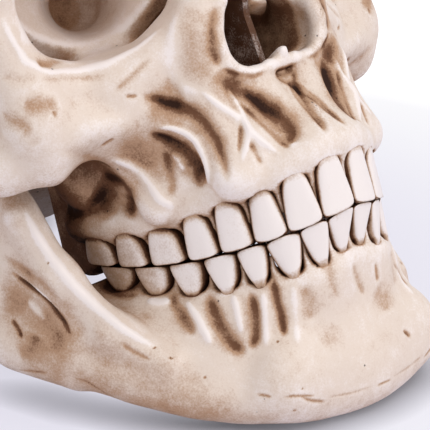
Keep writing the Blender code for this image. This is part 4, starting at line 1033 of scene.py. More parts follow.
CROWN_FORMS = {
    Crown.INCISOR: CrownForm(0.0004, 0.0, 0.0, 0.0, 4.2, -0.16),
    Crown.CANINE: CrownForm(0.0007, 0.0, -0.0004, 0.0, 3.0, -0.10),
    Crown.PREMOLAR: CrownForm(0.0005, 0.0, 0.0, 0.0009, 3.6, -0.02),
    Crown.MOLAR: CrownForm(0.0004, 0.0007, 0.0006, 0.0010, 3.8, 0.16),
}


@dataclass
class Row:
    """One row of teeth: way is 1 for the upper jaw and -1 for the lower."""

    name: str
    body: str
    teeth: tuple[Tooth, ...]
    way: int
    front_flare: float
    flare_fade: float
    neck_share: float
    bite_inset: float
    rib_inset: float
    rib_radius: float
    rib_sag: float
    sides: int = 28
    root_tip_share: float = 0.30
    rib_count: int = 26
    papilla_share: float = 0.62
    papilla_inset_shares: tuple[float, float] = (0.30, 0.34)
    papilla_radii: tuple[float, float] = (0.0011, 0.0006)
    socket_width_play: float = 0.0005
    socket_depth_play: float = 0.0011
    socket_half_height: float = 0.0026
    socket_drop: float = 0.0018
    socket_blend: float = 0.0005
    plain_neck_share: float = 0.80
    most_squeeze: float = 1.6
    inner_power: float = 2.6
    cap_shares: tuple[tuple[float, float], ...] = ((0.22, 1.0), (0.50, 0.85), (0.78, 0.35))
    neck_stain: float = 0.42
    # side and bite masks: wash where the teeth meet, and painted shade there
    side_wash_and_shade: float = 0.32
    bite_wash_and_shade: float = 0.5

    @property
    def length(self) -> float:
        """Arc length of half the row."""
        return sum(tooth[1] for tooth in self.teeth)

    def crown_height(self, s: float) -> float:
        """Height of the crowns, smooth along the row."""
        widths = np.array([tooth[1] for tooth in self.teeth])
        return float(np.interp(s, np.cumsum(widths) - 0.5 * widths, [tooth[2] for tooth in self.teeth]))

    def gum(self, s: float) -> tuple[float, float]:
        """Inset and height of the gum line at an arc length."""
        flare = self.front_flare * math.exp(-((s / self.flare_fade) ** 2))
        return self.bite_inset - flare, float(bite_height(s)) + self.way * self.crown_height(s)

    def ribs(self, bone: Bone, foot: RibFoot) -> None:
        """Lay ribs of bone from the gum line to foot(share, s), which gives a place and a radius.

        Args:
            bone: the field that the ribs join.
            foot: the function that says where a rib ends.
        """
        for i in range(self.rib_count):
            share = i / (self.rib_count - 1)
            s = share * self.length
            inset, height = self.gum(s)
            end, radius = foot(share, s)
            px, py = ARCH.point(s, inset + self.rib_inset)
            top = np.array((px, py, height + self.way * RIB_SINK_SHARE * self.rib_radius))
            inwards = np.array((np.interp(s, ARCH.s, ARCH.nx), np.interp(s, ARCH.s, ARCH.ny), 0.0))
            middle = 0.5 * (top + end) + self.rib_sag * inwards
            middle_radius = 0.5 * (self.rib_radius + radius)
            bone.rod(top, middle, self.rib_radius, middle_radius, RIB_BLEND)
            bone.rod(middle, end, middle_radius, radius, RIB_BLEND)

    def sockets(self, bone: Bone) -> None:
        """Cut the mouth of each socket, which leaves a scalloped edge of bone.

        Args:
            bone: the field that is cut.
        """
        start = 0.0
        for _, width, _, neck_depth, _ in self.teeth:
            s = start + 0.5 * width
            inset, height = self.gum(s)
            px, py = ARCH.point(s, inset + 0.5 * neck_depth)
            yaw = math.atan2(-np.interp(s, ARCH.s, ARCH.nx), np.interp(s, ARCH.s, ARCH.ny))
            radii = (0.5 * width * self.neck_share + self.socket_width_play,
                     0.5 * neck_depth + self.socket_depth_play, self.socket_half_height)
            place = (px, py, height - self.way * self.socket_drop)
            bone.ball(place, radii, self.socket_blend, cut=True, yaw=yaw)
            start += width

    def papillae(self, bone: Bone) -> None:
        """Lay the short points of gum that fill the wedges between the necks.

        Args:
            bone: the field that the points join.
        """
        start = 0.0
        for _, width, crown_height, neck_depth, _ in self.teeth:
            inset, height = self.gum(start)
            lean = (inset - self.bite_inset) / crown_height
            places = []
            for share, along in zip(self.papilla_inset_shares, (0.0, self.papilla_share * crown_height)):
                px, py = ARCH.point(start, inset - lean * along + share * neck_depth)
                places.append(np.array((px, py, height - self.way * along)))
            bone.rod(*places, *self.papilla_radii, RIB_BLEND)
            start += width

    def kind(self, name: str) -> Crown:
        """The kind of crown that a tooth's name says."""
        for crown in Crown:
            if crown.value in name:
                return crown
        raise ValueError(name)

    def stations(self, height: float, neck_depth: float, edge_depth: float) -> np.ndarray:
        """Rings from the edge to the root: distance along, width share and depth.

        Args:
            height: height of the crown.
            neck_depth: depth of the crown at its neck.
            edge_depth: depth of the crown at its edge.

        Returns:
            One ring a row.
        """
        low = 0.5 * BITE_GAP
        rise = np.array((0.00, 0.03, 0.09, 0.18, 0.30, 0.44, 0.58, 0.70, 0.80, 0.88, 0.95, 1.00))
        width = np.array((0.86, 0.95, 1.00, 1.00, 0.985, 0.95, 0.90, 0.85, 0.80, 0.75, 0.70, 0.66))
        squeeze = min(self.most_squeeze, (1.0 - self.neck_share) / (1.0 - self.plain_neck_share))
        width = np.where(rise > 0.1, 1.0 - (1.0 - width) * squeeze, width)
        depth = edge_depth + (neck_depth - edge_depth) * smooth_step(rise, 0.0, 0.85)
        depth[:3] *= np.array((0.70, 0.90, 1.0))
        crown = np.stack((low + rise * (height - low), width, depth), axis=1)
        deep = np.array((0.15, 0.5, 0.85, 1.0))
        tip = self.root_tip_share
        root_width = width[-1] + (tip - width[-1]) * deep
        root_depth = neck_depth * (1.0 + (tip - 1.0) * deep**1.5)
        root = np.stack((height + ROOT_LENGTH * deep, root_width, root_depth), axis=1)
        return np.concatenate((crown, root))

    def tooth(self, start: float, tooth: Tooth, side: int) -> Surface:
        """Mesh a tooth, with masks for its neck and sides.

        Args:
            start: arc length where the tooth begins.
            tooth: its row of the table.
            side: 1 for the skull's left and -1 for its right.

        Returns:
            The tooth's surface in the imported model's frame.
        """
        name, width, height, neck_depth, edge_depth = tooth
        form = CROWN_FORMS[self.kind(name)]
        centre = start + 0.5 * width
        half = 0.5 * (width - TOOTH_GAP)
        lean = (self.gum(centre)[0] - self.bite_inset) / height
        angle = math.tau * (np.arange(self.sides) + 0.5) / self.sides
        c, d = np.cos(angle), np.sin(angle)
        power = np.where(d < 0.0, form.face_power, self.inner_power)
        u = np.sign(c) * np.abs(c) ** (2.0 / power)
        v = np.sign(d) * np.abs(d) ** (2.0 / power)
        rings, necks, sides = [], [], []
        first = self.stations(height, neck_depth, edge_depth)
        rows = [(*first[0], k, f) for k, f in self.cap_shares] + [(*row, 1.0, 0.0) for row in first]
        for along, share, depth, shrink, fossa in rows:
            rise = along / height
            inset = self.bite_inset + lean * along
            if along > height:
                inset += ROOT_LEAN_SHARE * (neck_depth - depth)
            edge = np.clip(1.0 - rise / 0.45, 0.0, 1.0) ** 2
            lobe = np.exp(-((u / 0.20) ** 2)) * smooth_step(1.0 - rise, 0.15, 0.7) * (rise < 1.0)
            across = u * half * share * shrink
            inwards = v * 0.5 * depth * shrink + form.groove * lobe * (d < 0.0) * shrink
            outer = smooth_step(-v, -0.2, 0.7)
            lift = edge * (form.corner_drop * np.abs(u) ** 3 + form.notch * np.exp(-((u / 0.22) ** 2)))
            lift = lift * shrink * outer + form.fossa * fossa
            s = centre + across
            px, py = ARCH.point(s, inset + 0.5 * depth + inwards)
            z = bite_height(s) + self.way * (along + lift)
            rings.append(np.stack((side * px, py, z), axis=1))
            necks.append(np.full(self.sides, rise))
            sides.append(np.abs(u) * (shrink == 1.0))
        points = np.concatenate(rings)
        count = self.sides
        quads = []
        for ring in range(len(rings) - 1):
            base = ring * count
            for i in range(count):
                j = (i + 1) % count
                quads.append((base + i, base + j, base + count + j, base + count + i))
        surface = Surface(POSTURE.to_model(points), np.array(quads))
        last = len(points) - count
        surface.others = [tuple(range(count - 1, -1, -1)), tuple(range(last, last + count))]
        if side * self.way < 0:
            surface.quads = surface.quads[:, ::-1]
            surface.others = [loop[::-1] for loop in surface.others]
        rise, reach = np.concatenate(necks), np.concatenate(sides)
        stain = self.neck_stain * smooth_step(rise, 0.84, 1.0)
        # the sides and the biting edge are darkened: wash, and painted shade where neighbours meet
        stain = stain + self.side_wash_and_shade * smooth_step(reach, 0.84, 1.0)
        surface.masks["stain"] = stain + self.bite_wash_and_shade * smooth_step(-rise, -0.06, 0.0) + form.stain
        return surface


UPPER_ROW = Row("upper", "cranium", UPPER_TEETH, 1, 0.0010, 0.030, 0.80, 0.0, 0.0046, 0.0052, 0.0)
LOWER_ROW = Row("lower", "mandible", LOWER_TEETH, -1, -0.0040, 0.014, 0.70, LOWER_BITE_INSET, 0.0050, 0.0049,
                LOWER_RIB_SAG)


def braincase_distance(x: np.ndarray, y: np.ndarray, z: np.ndarray) -> np.ndarray:
    """Distance to the braincase's masses.

    Args:
        x: X in the skull's frame.
        y: Y in the skull's frame.
        z: Z in the skull's frame.

    Returns:
        One distance a point.
    """
    union = np.full(np.broadcast(x, y, z).shape, FAR)
    for place, size in BRAINCASE_SHARES:
        centre, radii = np.array(place) * BRAINCASE, np.array(size) * BRAINCASE
        p = [(value - c) / r for value, c, r in zip((x, y, z), centre, radii)]
        length = np.sqrt(p[0] ** 2 + p[1] ** 2 + p[2] ** 2)
        slope = np.sqrt((p[0] / radii[0]) ** 2 + (p[1] / radii[1]) ** 2 + (p[2] / radii[2]) ** 2)
        union = blend_min(union, length * (length - 1.0) / np.maximum(slope, TINY), SOFT_BLEND)
    return union


def rim_point(angle: float) -> np.ndarray:
    """The middle of the braincase wall on the cut, at an angle about the braincase's own middle.

    Args:
        angle: the angle, in radians.

    Returns:
        The place, in the skull's frame.
    """
    middle_y = BRAINCASE_SHARES[0][0][1] * BRAINCASE[1]
    reach = np.linspace(0.0, 0.6 * BRAINCASE[1], RIM_STEPS)
    x, y = np.abs(reach * math.cos(angle)), middle_y + reach * math.sin(angle)
    union = braincase_distance(x, y, np.full(reach.shape, CAP_CUT_HEIGHT))
    distance = float(np.interp(-0.5 * BRAINCASE_WALL, union, reach))
    return np.array((distance * math.cos(angle), middle_y + distance * math.sin(angle), CAP_CUT_HEIGHT))


@dataclass(frozen=True)
class Sutures:
    """Lines where the bones of the braincase meet, in metres of the skull's own frame.

    Each span is the lowest and highest depth or height at which a line runs.
    """

    limit: float = 0.008
    lowest: float = 0.012
    coronal_crown: tuple[float, float] = (-0.014, 0.118)
    coronal_lean: float = 0.30
    coronal_above: float = 0.030
    coronal_before: float = 0.02
    sagittal_span: tuple[float, float] = (-0.016, 0.088)
    sagittal_above: float = 0.05
    lambdoid_crown: tuple[float, float] = (0.092, 0.070)
    lambdoid_leans: tuple[float, float, float] = (0.42, 0.16, 0.45)
    lambdoid_behind: float = 0.045
    lambdoid_below: float = 0.078
    squamous_centre: tuple[float, float] = (0.004, 0.004)
    squamous_stretch: float = 1.25
    squamous_radius: float = 0.036
    squamous_outside: float = 0.045
    squamous_above: float = 0.010
    squamous_span: tuple[float, float] = (-0.045, 0.055)

    def distance(self, points: np.ndarray) -> np.ndarray:
        """Distance of points in the skull's frame to the nearest line, up to the limit.

        Args:
            points: one place a row, in metres.

        Returns:
            One distance a point.
        """
        x, y, z = np.abs(points[:, 0]), points[:, 1], points[:, 2]
        crown_y, crown_z = self.coronal_crown
        coronal = np.abs(y - crown_y - self.coronal_lean * (z - crown_z)) / math.hypot(1.0, self.coronal_lean)
        coronal = np.where((z > self.coronal_above) & (y < self.coronal_before), coronal, self.limit)
        low, high = self.sagittal_span
        sagittal = np.where((y > low) & (y < high) & (z > self.sagittal_above), x, self.limit)
        crown_y, crown_z = self.lambdoid_crown
        aside, back, slope = self.lambdoid_leans
        lambdoid = np.abs(y - crown_y + aside * x - back * (z - crown_z)) / math.hypot(1.0, slope)
        lambdoid = np.where((y > self.lambdoid_behind) & (z < self.lambdoid_below), lambdoid, self.limit)
        middle_y, middle_z = self.squamous_centre
        arc = np.hypot((y - middle_y) / self.squamous_stretch, z - middle_z)
        low, high = self.squamous_span
        beside = (x > self.squamous_outside) & (z > self.squamous_above) & (y > low) & (y < high)
        squamous = np.where(beside, np.abs(arc - self.squamous_radius), self.limit)
        nearest = np.minimum.reduce((coronal, sagittal, lambdoid, squamous, np.full(len(x), self.limit)))
        return np.where(z > self.lowest, nearest, self.limit)


class OpenAir:
    """How open the space round the closed skull is, from a coarse level set of all its pieces."""

    def __init__(self, surfaces: list[Surface], step: float = 0.0010, band: float = 0.012) -> None:
        """Build the level set of some closed surfaces.

        Args:
            surfaces: the closed surfaces.
            step: the grid's step, in metres.
            band: how far from the surfaces the distances run, in metres.
        """
        points, triangles, quads, start = [], [], [], 0
        for surface in surfaces:
            points.append(surface.points)
            quads.append(surface.quads + start)
            for loop in surface.others:
                triangles += [(loop[0] + start, loop[i] + start, loop[i + 1] + start)
                              for i in range(1, len(loop) - 1)]
            start += len(surface.points)
        self.step = step
        self.low = np.concatenate(points).min(axis=0) - band
        high = np.concatenate(points).max(axis=0) + band
        places = ((np.concatenate(points) - self.low) / step).astype(np.float32)
        grid = openvdb.FloatGrid.createLevelSetFromPolygons(
            places, triangles=np.array(triangles, dtype=np.uint32).reshape(-1, 3),
            quads=np.concatenate(quads).astype(np.uint32), halfWidth=band / step)
        self.distance = np.empty(np.ceil((high - self.low) / step).astype(int), dtype=np.float32)
        grid.copyToArray(self.distance)
        self.distance *= step

    def sample(self, points: np.ndarray) -> np.ndarray:
        """The distance to the nearest surface, by trilinear interpolation."""
        place = (points - self.low) / self.step
        place = np.clip(place, 0.0, np.array(self.distance.shape) - 1.001)
        cell = place.astype(int)
        return between_corners(self.distance, cell, place - cell)

    def closed(self, surface: Surface, normals: np.ndarray, reach: float) -> np.ndarray:
        """How closed in the points of a surface are within a reach, from 0 to 1."""
        return np.clip(1.0 - self.sample(surface.points + normals * reach) / reach, 0.0, 1.0)


# How the wash gathers: reaches in metres with their weights, and how the rest adds to them
WASH_REACHES = (0.0015, 0.0035, 0.0075, 0.0110)
WASH_WEIGHTS = (0.40, 0.35, 0.22, 0.15)
WASH_START = 0.12
WASH_MOST = 0.95
# painted shade: faces that point down are darkened as if out of the light
UNDERSIDE_PAINTED_SHADE = 0.30
DENT_WASH = 2.0
# ridges lose the wash and are lightened further as a painted highlight
RIDGE_WIPE_AND_HIGHLIGHT = 4.0
BULGE_ROUNDS = 14


def wash_shade_and_highlight_masks(surface: Surface, air: OpenAir) -> None:
    """Work out where a brown wash gathers, with painted shade added on faces that point down, and where it is
    wiped off, with a painted highlight on the ridges, and keep both as masks.

    Args:
        surface: the surface that is washed.
        air: the space round all the pieces.
    """
    normals = surface.normals()
    closed = [air.closed(surface, normals, reach) for reach in WASH_REACHES]
    bulge = ((surface.points - surface.relaxed(BULGE_ROUNDS)) * normals).sum(axis=1) / MILLIMETRE
    bulge = surface.spread(bulge, surface.edges())
    stain = surface.masks.get("stain", np.zeros(len(normals)))
    wash = sum(weight * share for weight, share in zip(WASH_WEIGHTS, closed)) - WASH_START
    # painted shade on the faces that point down
    wash = np.minimum(wash, WASH_MOST) + UNDERSIDE_PAINTED_SHADE * np.clip(-normals[:, 2], 0.0, 1.0)
    # the ridge mask: wash wiped off, and a painted highlight on the ridges
    ridge = RIDGE_WIPE_AND_HIGHLIGHT * np.maximum(bulge, 0.0) - 0.5 * closed[2] - stain
    # the wash mask also carries the painted shade of the strokes, of the shades and of the faces that point
    # down
    surface.masks["wash"] = np.clip(wash + stain - DENT_WASH * np.minimum(bulge, 0.0), -0.5, 2.0)
    surface.masks["ridge"] = np.clip(ridge, -0.5, 1.5)


class Graph:
    """Short calls that lay nodes in a shader tree."""

    def __init__(self, tree: bpy.types.NodeTree) -> None:
        """Work in a tree."""
        self.tree = tree

    def add(self, kind: str, **settings: object) -> bpy.types.Node:
        """Add a node and set its properties."""
        node = self.tree.nodes.new(kind)
        for key, value in settings.items():
            setattr(node, key, value)
        return node

    def feed(self, socket: Socket, value: Value) -> None:
        """Link a socket, or set its value."""
        if isinstance(value, Socket):
            self.tree.links.new(value, socket)
        else:
            socket.default_value = value

    def math(self, operation: str, first: Value, second: Value = 0.0) -> Socket:
        """A number worked out from one or two others."""
        node = self.add("ShaderNodeMath", operation=operation)
        self.feed(node.inputs[0], first)
        self.feed(node.inputs[1], second)
        return node.outputs[0]

    def ramp(self, value: Value, low: float, high: float, out_low: float = 0.0,
             out_high: float = 1.0) -> Socket:
        """A soft change from one number to another."""
        node = self.add("ShaderNodeMapRange", interpolation_type="SMOOTHSTEP")
        for socket, number in zip(node.inputs, (value, low, high, out_low, out_high)):
            self.feed(socket, number)
        return node.outputs[0]

    def noise(self, place: Socket, size: Value, detail: float = 2.0, roughness: float = 0.5) -> Socket:
        """Noise whose blotches are about a size across, in metres.

        Args:
            place: where the noise is read.
            size: size of the blotches, in metres.
            detail: how many finer layers there are.
            roughness: how strong the finer layers are.

        Returns:
            The noise.
        """
        node = self.add("ShaderNodeTexNoise")
        self.feed(node.inputs["Vector"], place)
        scale = self.math("DIVIDE", 1.0, size) if isinstance(size, Socket) else 1.0 / size
        self.feed(node.inputs["Scale"], scale)
        node.inputs["Detail"].default_value = detail
        node.inputs["Roughness"].default_value = roughness
        return node.outputs[0]

    def cells(self, place: Socket, size: float) -> bpy.types.Node:
        """Cells about a size across, in metres."""
        node = self.add("ShaderNodeTexVoronoi")
        self.feed(node.inputs["Vector"], place)
        node.inputs["Scale"].default_value = 1.0 / size
        return node

    def bump(self, height: Socket, strength: float, distance: float) -> Socket:
        """A normal that follows a height, in metres."""
        node = self.add("ShaderNodeBump")
        node.inputs["Strength"].default_value = strength
        node.inputs["Distance"].default_value = distance
        self.feed(node.inputs["Height"], height)
        return node.outputs[0]

    def colours(self, factor: Value, first: Value, second: Value) -> Socket:
        """A mix of two colours."""
        node = self.add("ShaderNodeMix", data_type="RGBA")
        self.feed(node.inputs[0], factor)
        self.feed(node.inputs[6], first)
        self.feed(node.inputs[7], second)
        return node.outputs[2]


def new_material(name: str) -> tuple[bpy.types.Material, Graph, bpy.types.Node]:
    """Make a material, with its graph and its Principled node."""
    material = bpy.data.materials.new(name)
    material.use_nodes = True
    return material, Graph(material.node_tree), material.node_tree.nodes["Principled BSDF"]


def shader_group(name: str, inputs: dict[str, tuple[str, Value]],
                 outputs: dict[str, str]) -> tuple[bpy.types.NodeTree, Graph, bpy.types.Node, bpy.types.Node]:
    """Make an empty shader node group.

    Args:
        name: the group's name.
        inputs: each input's socket type and first value.
        outputs: each output's socket type.

    Returns:
        The group's tree, its graph, its input node and its output node.
    """
    tree = bpy.data.node_groups.new(name, "ShaderNodeTree")
    for label, (kind, value) in inputs.items():
        tree.interface.new_socket(label, in_out="INPUT", socket_type=kind).default_value = value
    for label, kind in outputs.items():
        tree.interface.new_socket(label, in_out="OUTPUT", socket_type=kind)
    graph = Graph(tree)
    return tree, graph, graph.add("NodeGroupInput"), graph.add("NodeGroupOutput")


NUMBER = "NodeSocketFloat"
COLOUR = "NodeSocketColor"


def cast_grain_group() -> bpy.types.NodeTree:
    """Grain, mottling, brush marks and air bubbles of cast resin.

    Returns:
        The node group.
    """
    tree, g, inside, outside = shader_group(
        "cast_grain", {"Grain Size": (NUMBER, 0.0005), "Bubble Share": (NUMBER, 0.04)},
        {"Height": NUMBER, "Speckle": NUMBER, "Mottle": NUMBER, "Bubble": NUMBER, "Cloud": NUMBER})
    place = g.add("ShaderNodeTexCoord").outputs["Object"]
    fine = g.noise(place, inside.outputs["Grain Size"], 3.0, 0.6)
    stretch = g.add("ShaderNodeMapping")
    stretch.inputs["Scale"].default_value = (1.0, 0.35, 0.8)
    g.feed(stretch.inputs["Vector"], place)
    brush = g.noise(stretch.outputs[0], 0.0014, 3.0, 0.6)
    mottle = g.noise(place, 0.0060, 4.0, 0.62)
    cloud = g.noise(place, 0.0240, 3.0, 0.55)
    pits = g.cells(place, 0.0026)
    split = g.add("ShaderNodeSeparateColor")
    g.feed(split.inputs[0], pits.outputs["Color"])
    chance = g.math("LESS_THAN", split.outputs[0], inside.outputs["Bubble Share"])
    dot = g.ramp(pits.outputs["Distance"], 0.07, 0.13, 1.0, 0.0)
    bubble = g.math("MULTIPLY", dot, chance)
    speckle = g.math("ADD", g.math("MULTIPLY", fine, 0.6), g.math("MULTIPLY", brush, 0.4))
    height = g.math("SUBTRACT", speckle, g.math("MULTIPLY", bubble, 1.5))
    for label, value in (("Height", height), ("Speckle", speckle), ("Mottle", mottle), ("Bubble", bubble),
                         ("Cloud", cloud)):
        g.feed(outside.inputs[label], value)
    return tree


def antique_wash_group() -> bpy.types.NodeTree:
    """Brown wash that lies in the hollows and is wiped off the ridges, whose bare, lighter colour is also a
    painted highlight.

    Returns:
        The node group.
    """
    tree, g, inside, outside = shader_group(
        "antique_wash",
        {"Wash": (NUMBER, 0.0), "Ridge": (NUMBER, 0.0), "Speckle": (NUMBER, 0.5), "Mottle": (NUMBER, 0.5),
         "Cloud": (NUMBER, 0.5), "Bubble": (NUMBER, 0.0), "Bare And Highlight": (COLOUR, (0.9, 0.85, 0.75, 1.0)),
         "Body": (COLOUR, (0.8, 0.7, 0.55, 1.0)), "Tan": (COLOUR, (0.5, 0.35, 0.2, 1.0)),
         "Brown": (COLOUR, (0.2, 0.1, 0.05, 1.0)), "Black": (COLOUR, (0.03, 0.02, 0.01, 1.0)),
         "Mottling": (NUMBER, 0.5)},
        {"Color": COLOUR, "Depth": NUMBER})
    o = inside.outputs
    speckle = g.math("SUBTRACT", o["Speckle"], 0.5)
    mottle = g.math("SUBTRACT", o["Mottle"], 0.5)
    cloud = g.math("SUBTRACT", o["Cloud"], 0.5)
    uneven = g.math("ADD", g.math("MULTIPLY", speckle, 2.0), g.math("MULTIPLY", mottle, 0.9))
    uneven = g.math("ADD", uneven, g.math("MULTIPLY", cloud, 1.1))
    depth = g.math("ADD", o["Wash"], g.math("MULTIPLY", uneven, o["Mottling"]))
    bare_and_highlight = g.math("SUBTRACT", o["Ridge"], g.math("MULTIPLY", uneven, 0.6))
    # bare colour on the ridges: wiped wash and painted highlight
    colour = g.colours(g.ramp(bare_and_highlight, 0.0, 0.55), o["Body"], o["Bare And Highlight"])
    colour = g.colours(g.ramp(depth, -0.10, 0.58), colour, o["Tan"])
    colour = g.colours(g.ramp(depth, 0.50, 1.00), colour, o["Brown"])
    colour = g.colours(g.ramp(depth, 1.00, 1.50), colour, o["Black"])
    colour = g.colours(g.math("MULTIPLY", o["Bubble"], 0.85), colour, o["Black"])
    g.feed(outside.inputs["Color"], colour)
    g.feed(outside.inputs["Depth"], depth)
    return tree


def scratch_group() -> bpy.types.NodeTree:
    """Fine scratches and dull patches of small metal parts.

    Returns:
        The node group.
    """
    tree, g, inside, outside = shader_group(
        "fine_scratches", {"Scratch Size": (NUMBER, 0.0003)}, {"Height": NUMBER, "Dull": NUMBER})
    place = g.add("ShaderNodeTexCoord").outputs["Object"]
    stretch = g.add("ShaderNodeMapping")
    stretch.inputs["Scale"].default_value = (0.12, 1.0, 1.0)
    g.feed(stretch.inputs["Vector"], place)
    g.feed(outside.inputs["Height"], g.noise(stretch.outputs[0], inside.outputs["Scratch Size"], 2.0, 0.6))
    g.feed(outside.inputs["Dull"], g.noise(place, 0.0012, 3.0, 0.6))
    return tree


@dataclass(frozen=True)
class ResinFinish:
    """Cast resin with a brown wash; colours are linear."""

    name: str
    # lightest colour, on the ridges: bare resin and painted highlight
    bare_and_highlight: tuple[float, float, float] = (0.90, 0.81, 0.775)
    body: tuple[float, float, float] = (0.775, 0.650, 0.560)
    tan: tuple[float, float, float] = (0.475, 0.290, 0.182)
    brown: tuple[float, float, float] = (0.165, 0.075, 0.040)
    black: tuple[float, float, float] = (0.030, 0.011, 0.006)
    mottling: float = 0.55
    bubble_share: float = 0.05
    grain_size: float = 0.00042
    bump: float = 0.35
    bump_height: float = 0.00025
    roughness: tuple[float, float] = (0.42, 0.62)
    shine: tuple[float, float] = (0.35, 0.10)
    sutures: bool = False

    def make(self, groups: dict[str, bpy.types.NodeTree]) -> bpy.types.Material:
        """Build the material.

        Args:
            groups: the shared node groups, by name.

        Returns:
            The material.
        """
        material, g, surface = new_material(self.name)
        grain = g.add("ShaderNodeGroup", node_tree=groups["cast_grain"])
        grain.inputs["Grain Size"].default_value = self.grain_size
        grain.inputs["Bubble Share"].default_value = self.bubble_share
        wash = g.add("ShaderNodeGroup", node_tree=groups["antique_wash"])
        for label in ("Speckle", "Mottle", "Cloud", "Bubble"):
            g.feed(wash.inputs[label], grain.outputs[label])
        depth = g.add("ShaderNodeAttribute", attribute_name="wash").outputs["Fac"]
        height = grain.outputs["Height"]
        if self.sutures:
            line = self.suture_line(g)
            depth = g.math("ADD", depth, g.math("MULTIPLY", line, 0.8))
            height = g.math("SUBTRACT", height, g.math("MULTIPLY", line, 2.0))
        g.feed(wash.inputs["Wash"], depth)
        g.feed(wash.inputs["Ridge"], g.add("ShaderNodeAttribute", attribute_name="ridge").outputs["Fac"])
        for label, colour in (("Bare And Highlight", self.bare_and_highlight), ("Body", self.body), ("Tan", self.tan),
                              ("Brown", self.brown), ("Black", self.black)):
            wash.inputs[label].default_value = (*colour, 1.0)
        wash.inputs["Mottling"].default_value = self.mottling
        g.feed(surface.inputs["Base Color"], wash.outputs["Color"])
        g.feed(surface.inputs["Roughness"], g.ramp(wash.outputs["Depth"], 0.0, 0.9, *self.roughness))
        g.feed(surface.inputs["Normal"], g.bump(height, self.bump, self.bump_height))
        g.feed(surface.inputs["Specular IOR Level"], g.ramp(wash.outputs["Depth"], 0.2, 1.0, *self.shine))
        return material

    def suture_line(self, g: Graph) -> Socket:
        """A thin wandering line where the suture mask says that one runs."""
        place = g.add("ShaderNodeTexCoord").outputs["Object"]
        distance = g.add("ShaderNodeAttribute", attribute_name="suture").outputs["Fac"]
        wander = g.math("MULTIPLY", g.math("SUBTRACT", g.noise(place, 0.0035, 3.0, 0.65), 0.5), 0.0075)
        off = g.math("ABSOLUTE", g.math("SUBTRACT", distance, g.math("ABSOLUTE", wander)))
        return g.ramp(off, 0.00012, 0.00055, 1.0, 0.0)


@dataclass(frozen=True)
class MetalFinish:
    """Plain or plated metal of a small part."""

    name: str
    colour: tuple[float, float, float]
    roughness: tuple[float, float]
    bump: float = 0.2
    bump_height: float = 0.00005
    dull_share: float = 0.72

    def make(self, groups: dict[str, bpy.types.NodeTree]) -> bpy.types.Material:
        """Build the material.

        Args:
            groups: the shared node groups, by name.

        Returns:
            The material.
        """
        material, g, surface = new_material(self.name)
        marks = g.add("ShaderNodeGroup", node_tree=groups["fine_scratches"])
        dark = tuple(self.dull_share * value for value in self.colour)
        dull = g.ramp(marks.outputs["Dull"], 0.35, 0.7)
        g.feed(surface.inputs["Base Color"], g.colours(dull, (*self.colour, 1.0), (*dark, 1.0)))
        g.feed(surface.inputs["Roughness"], g.ramp(marks.outputs["Dull"], 0.3, 0.7, *self.roughness))
        g.feed(surface.inputs["Normal"], g.bump(marks.outputs["Height"], self.bump, self.bump_height))
        surface.inputs["Metallic"].default_value = 1.0
        return material


@dataclass
class Finishes:
    """All finishes of the model, made once."""

    groups: dict[str, bpy.types.NodeTree] = field(default_factory=dict)

    def __post_init__(self) -> None:
        """Build the shared groups and the materials."""
        for group in (cast_grain_group(), antique_wash_group(), scratch_group()):
            self.groups[group.name] = group
        self.bone = ResinFinish("washed_bone_resin", sutures=True).make(self.groups)
        self.jaw = ResinFinish("washed_jaw_resin").make(self.groups)
        self.teeth = ResinFinish("tooth_resin", bare_and_highlight=(0.88, 0.80, 0.77), body=(0.80, 0.71, 0.655),
                                 tan=(0.50, 0.33, 0.22), brown=(0.13, 0.055, 0.028), mottling=0.50,
                                 bubble_share=0.015, bump=0.16, roughness=(0.30, 0.55)).make(self.groups)
        self.insert = ResinFinish("insert_plastic", bubble_share=0.0,
                                  roughness=(0.40, 0.55)).make(self.groups)
        self.septum = ResinFinish("septum_plastic", body=(0.115, 0.055, 0.032), tan=(0.10, 0.045, 0.025),
                                  bubble_share=0.0, shine=(0.08, 0.08)).make(self.groups)
        self.steel = MetalFinish("spring_steel_wire", (0.62, 0.62, 0.60), (0.22, 0.40)).make(self.groups)
        self.plating = MetalFinish("dark_nickel", (0.30, 0.30, 0.31), (0.20, 0.38)).make(self.groups)


def dress(shape: bpy.types.Object, material: bpy.types.Material, body: str, slot: str,
          *nodes: str) -> None:
    """Give a new piece its material and its body, and hide the nodes that it stands for."""
    shape.data.materials.append(material)
    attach(shape, body)
    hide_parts(*nodes)
    LOG.info("%s rides on %s", shape.name, body)


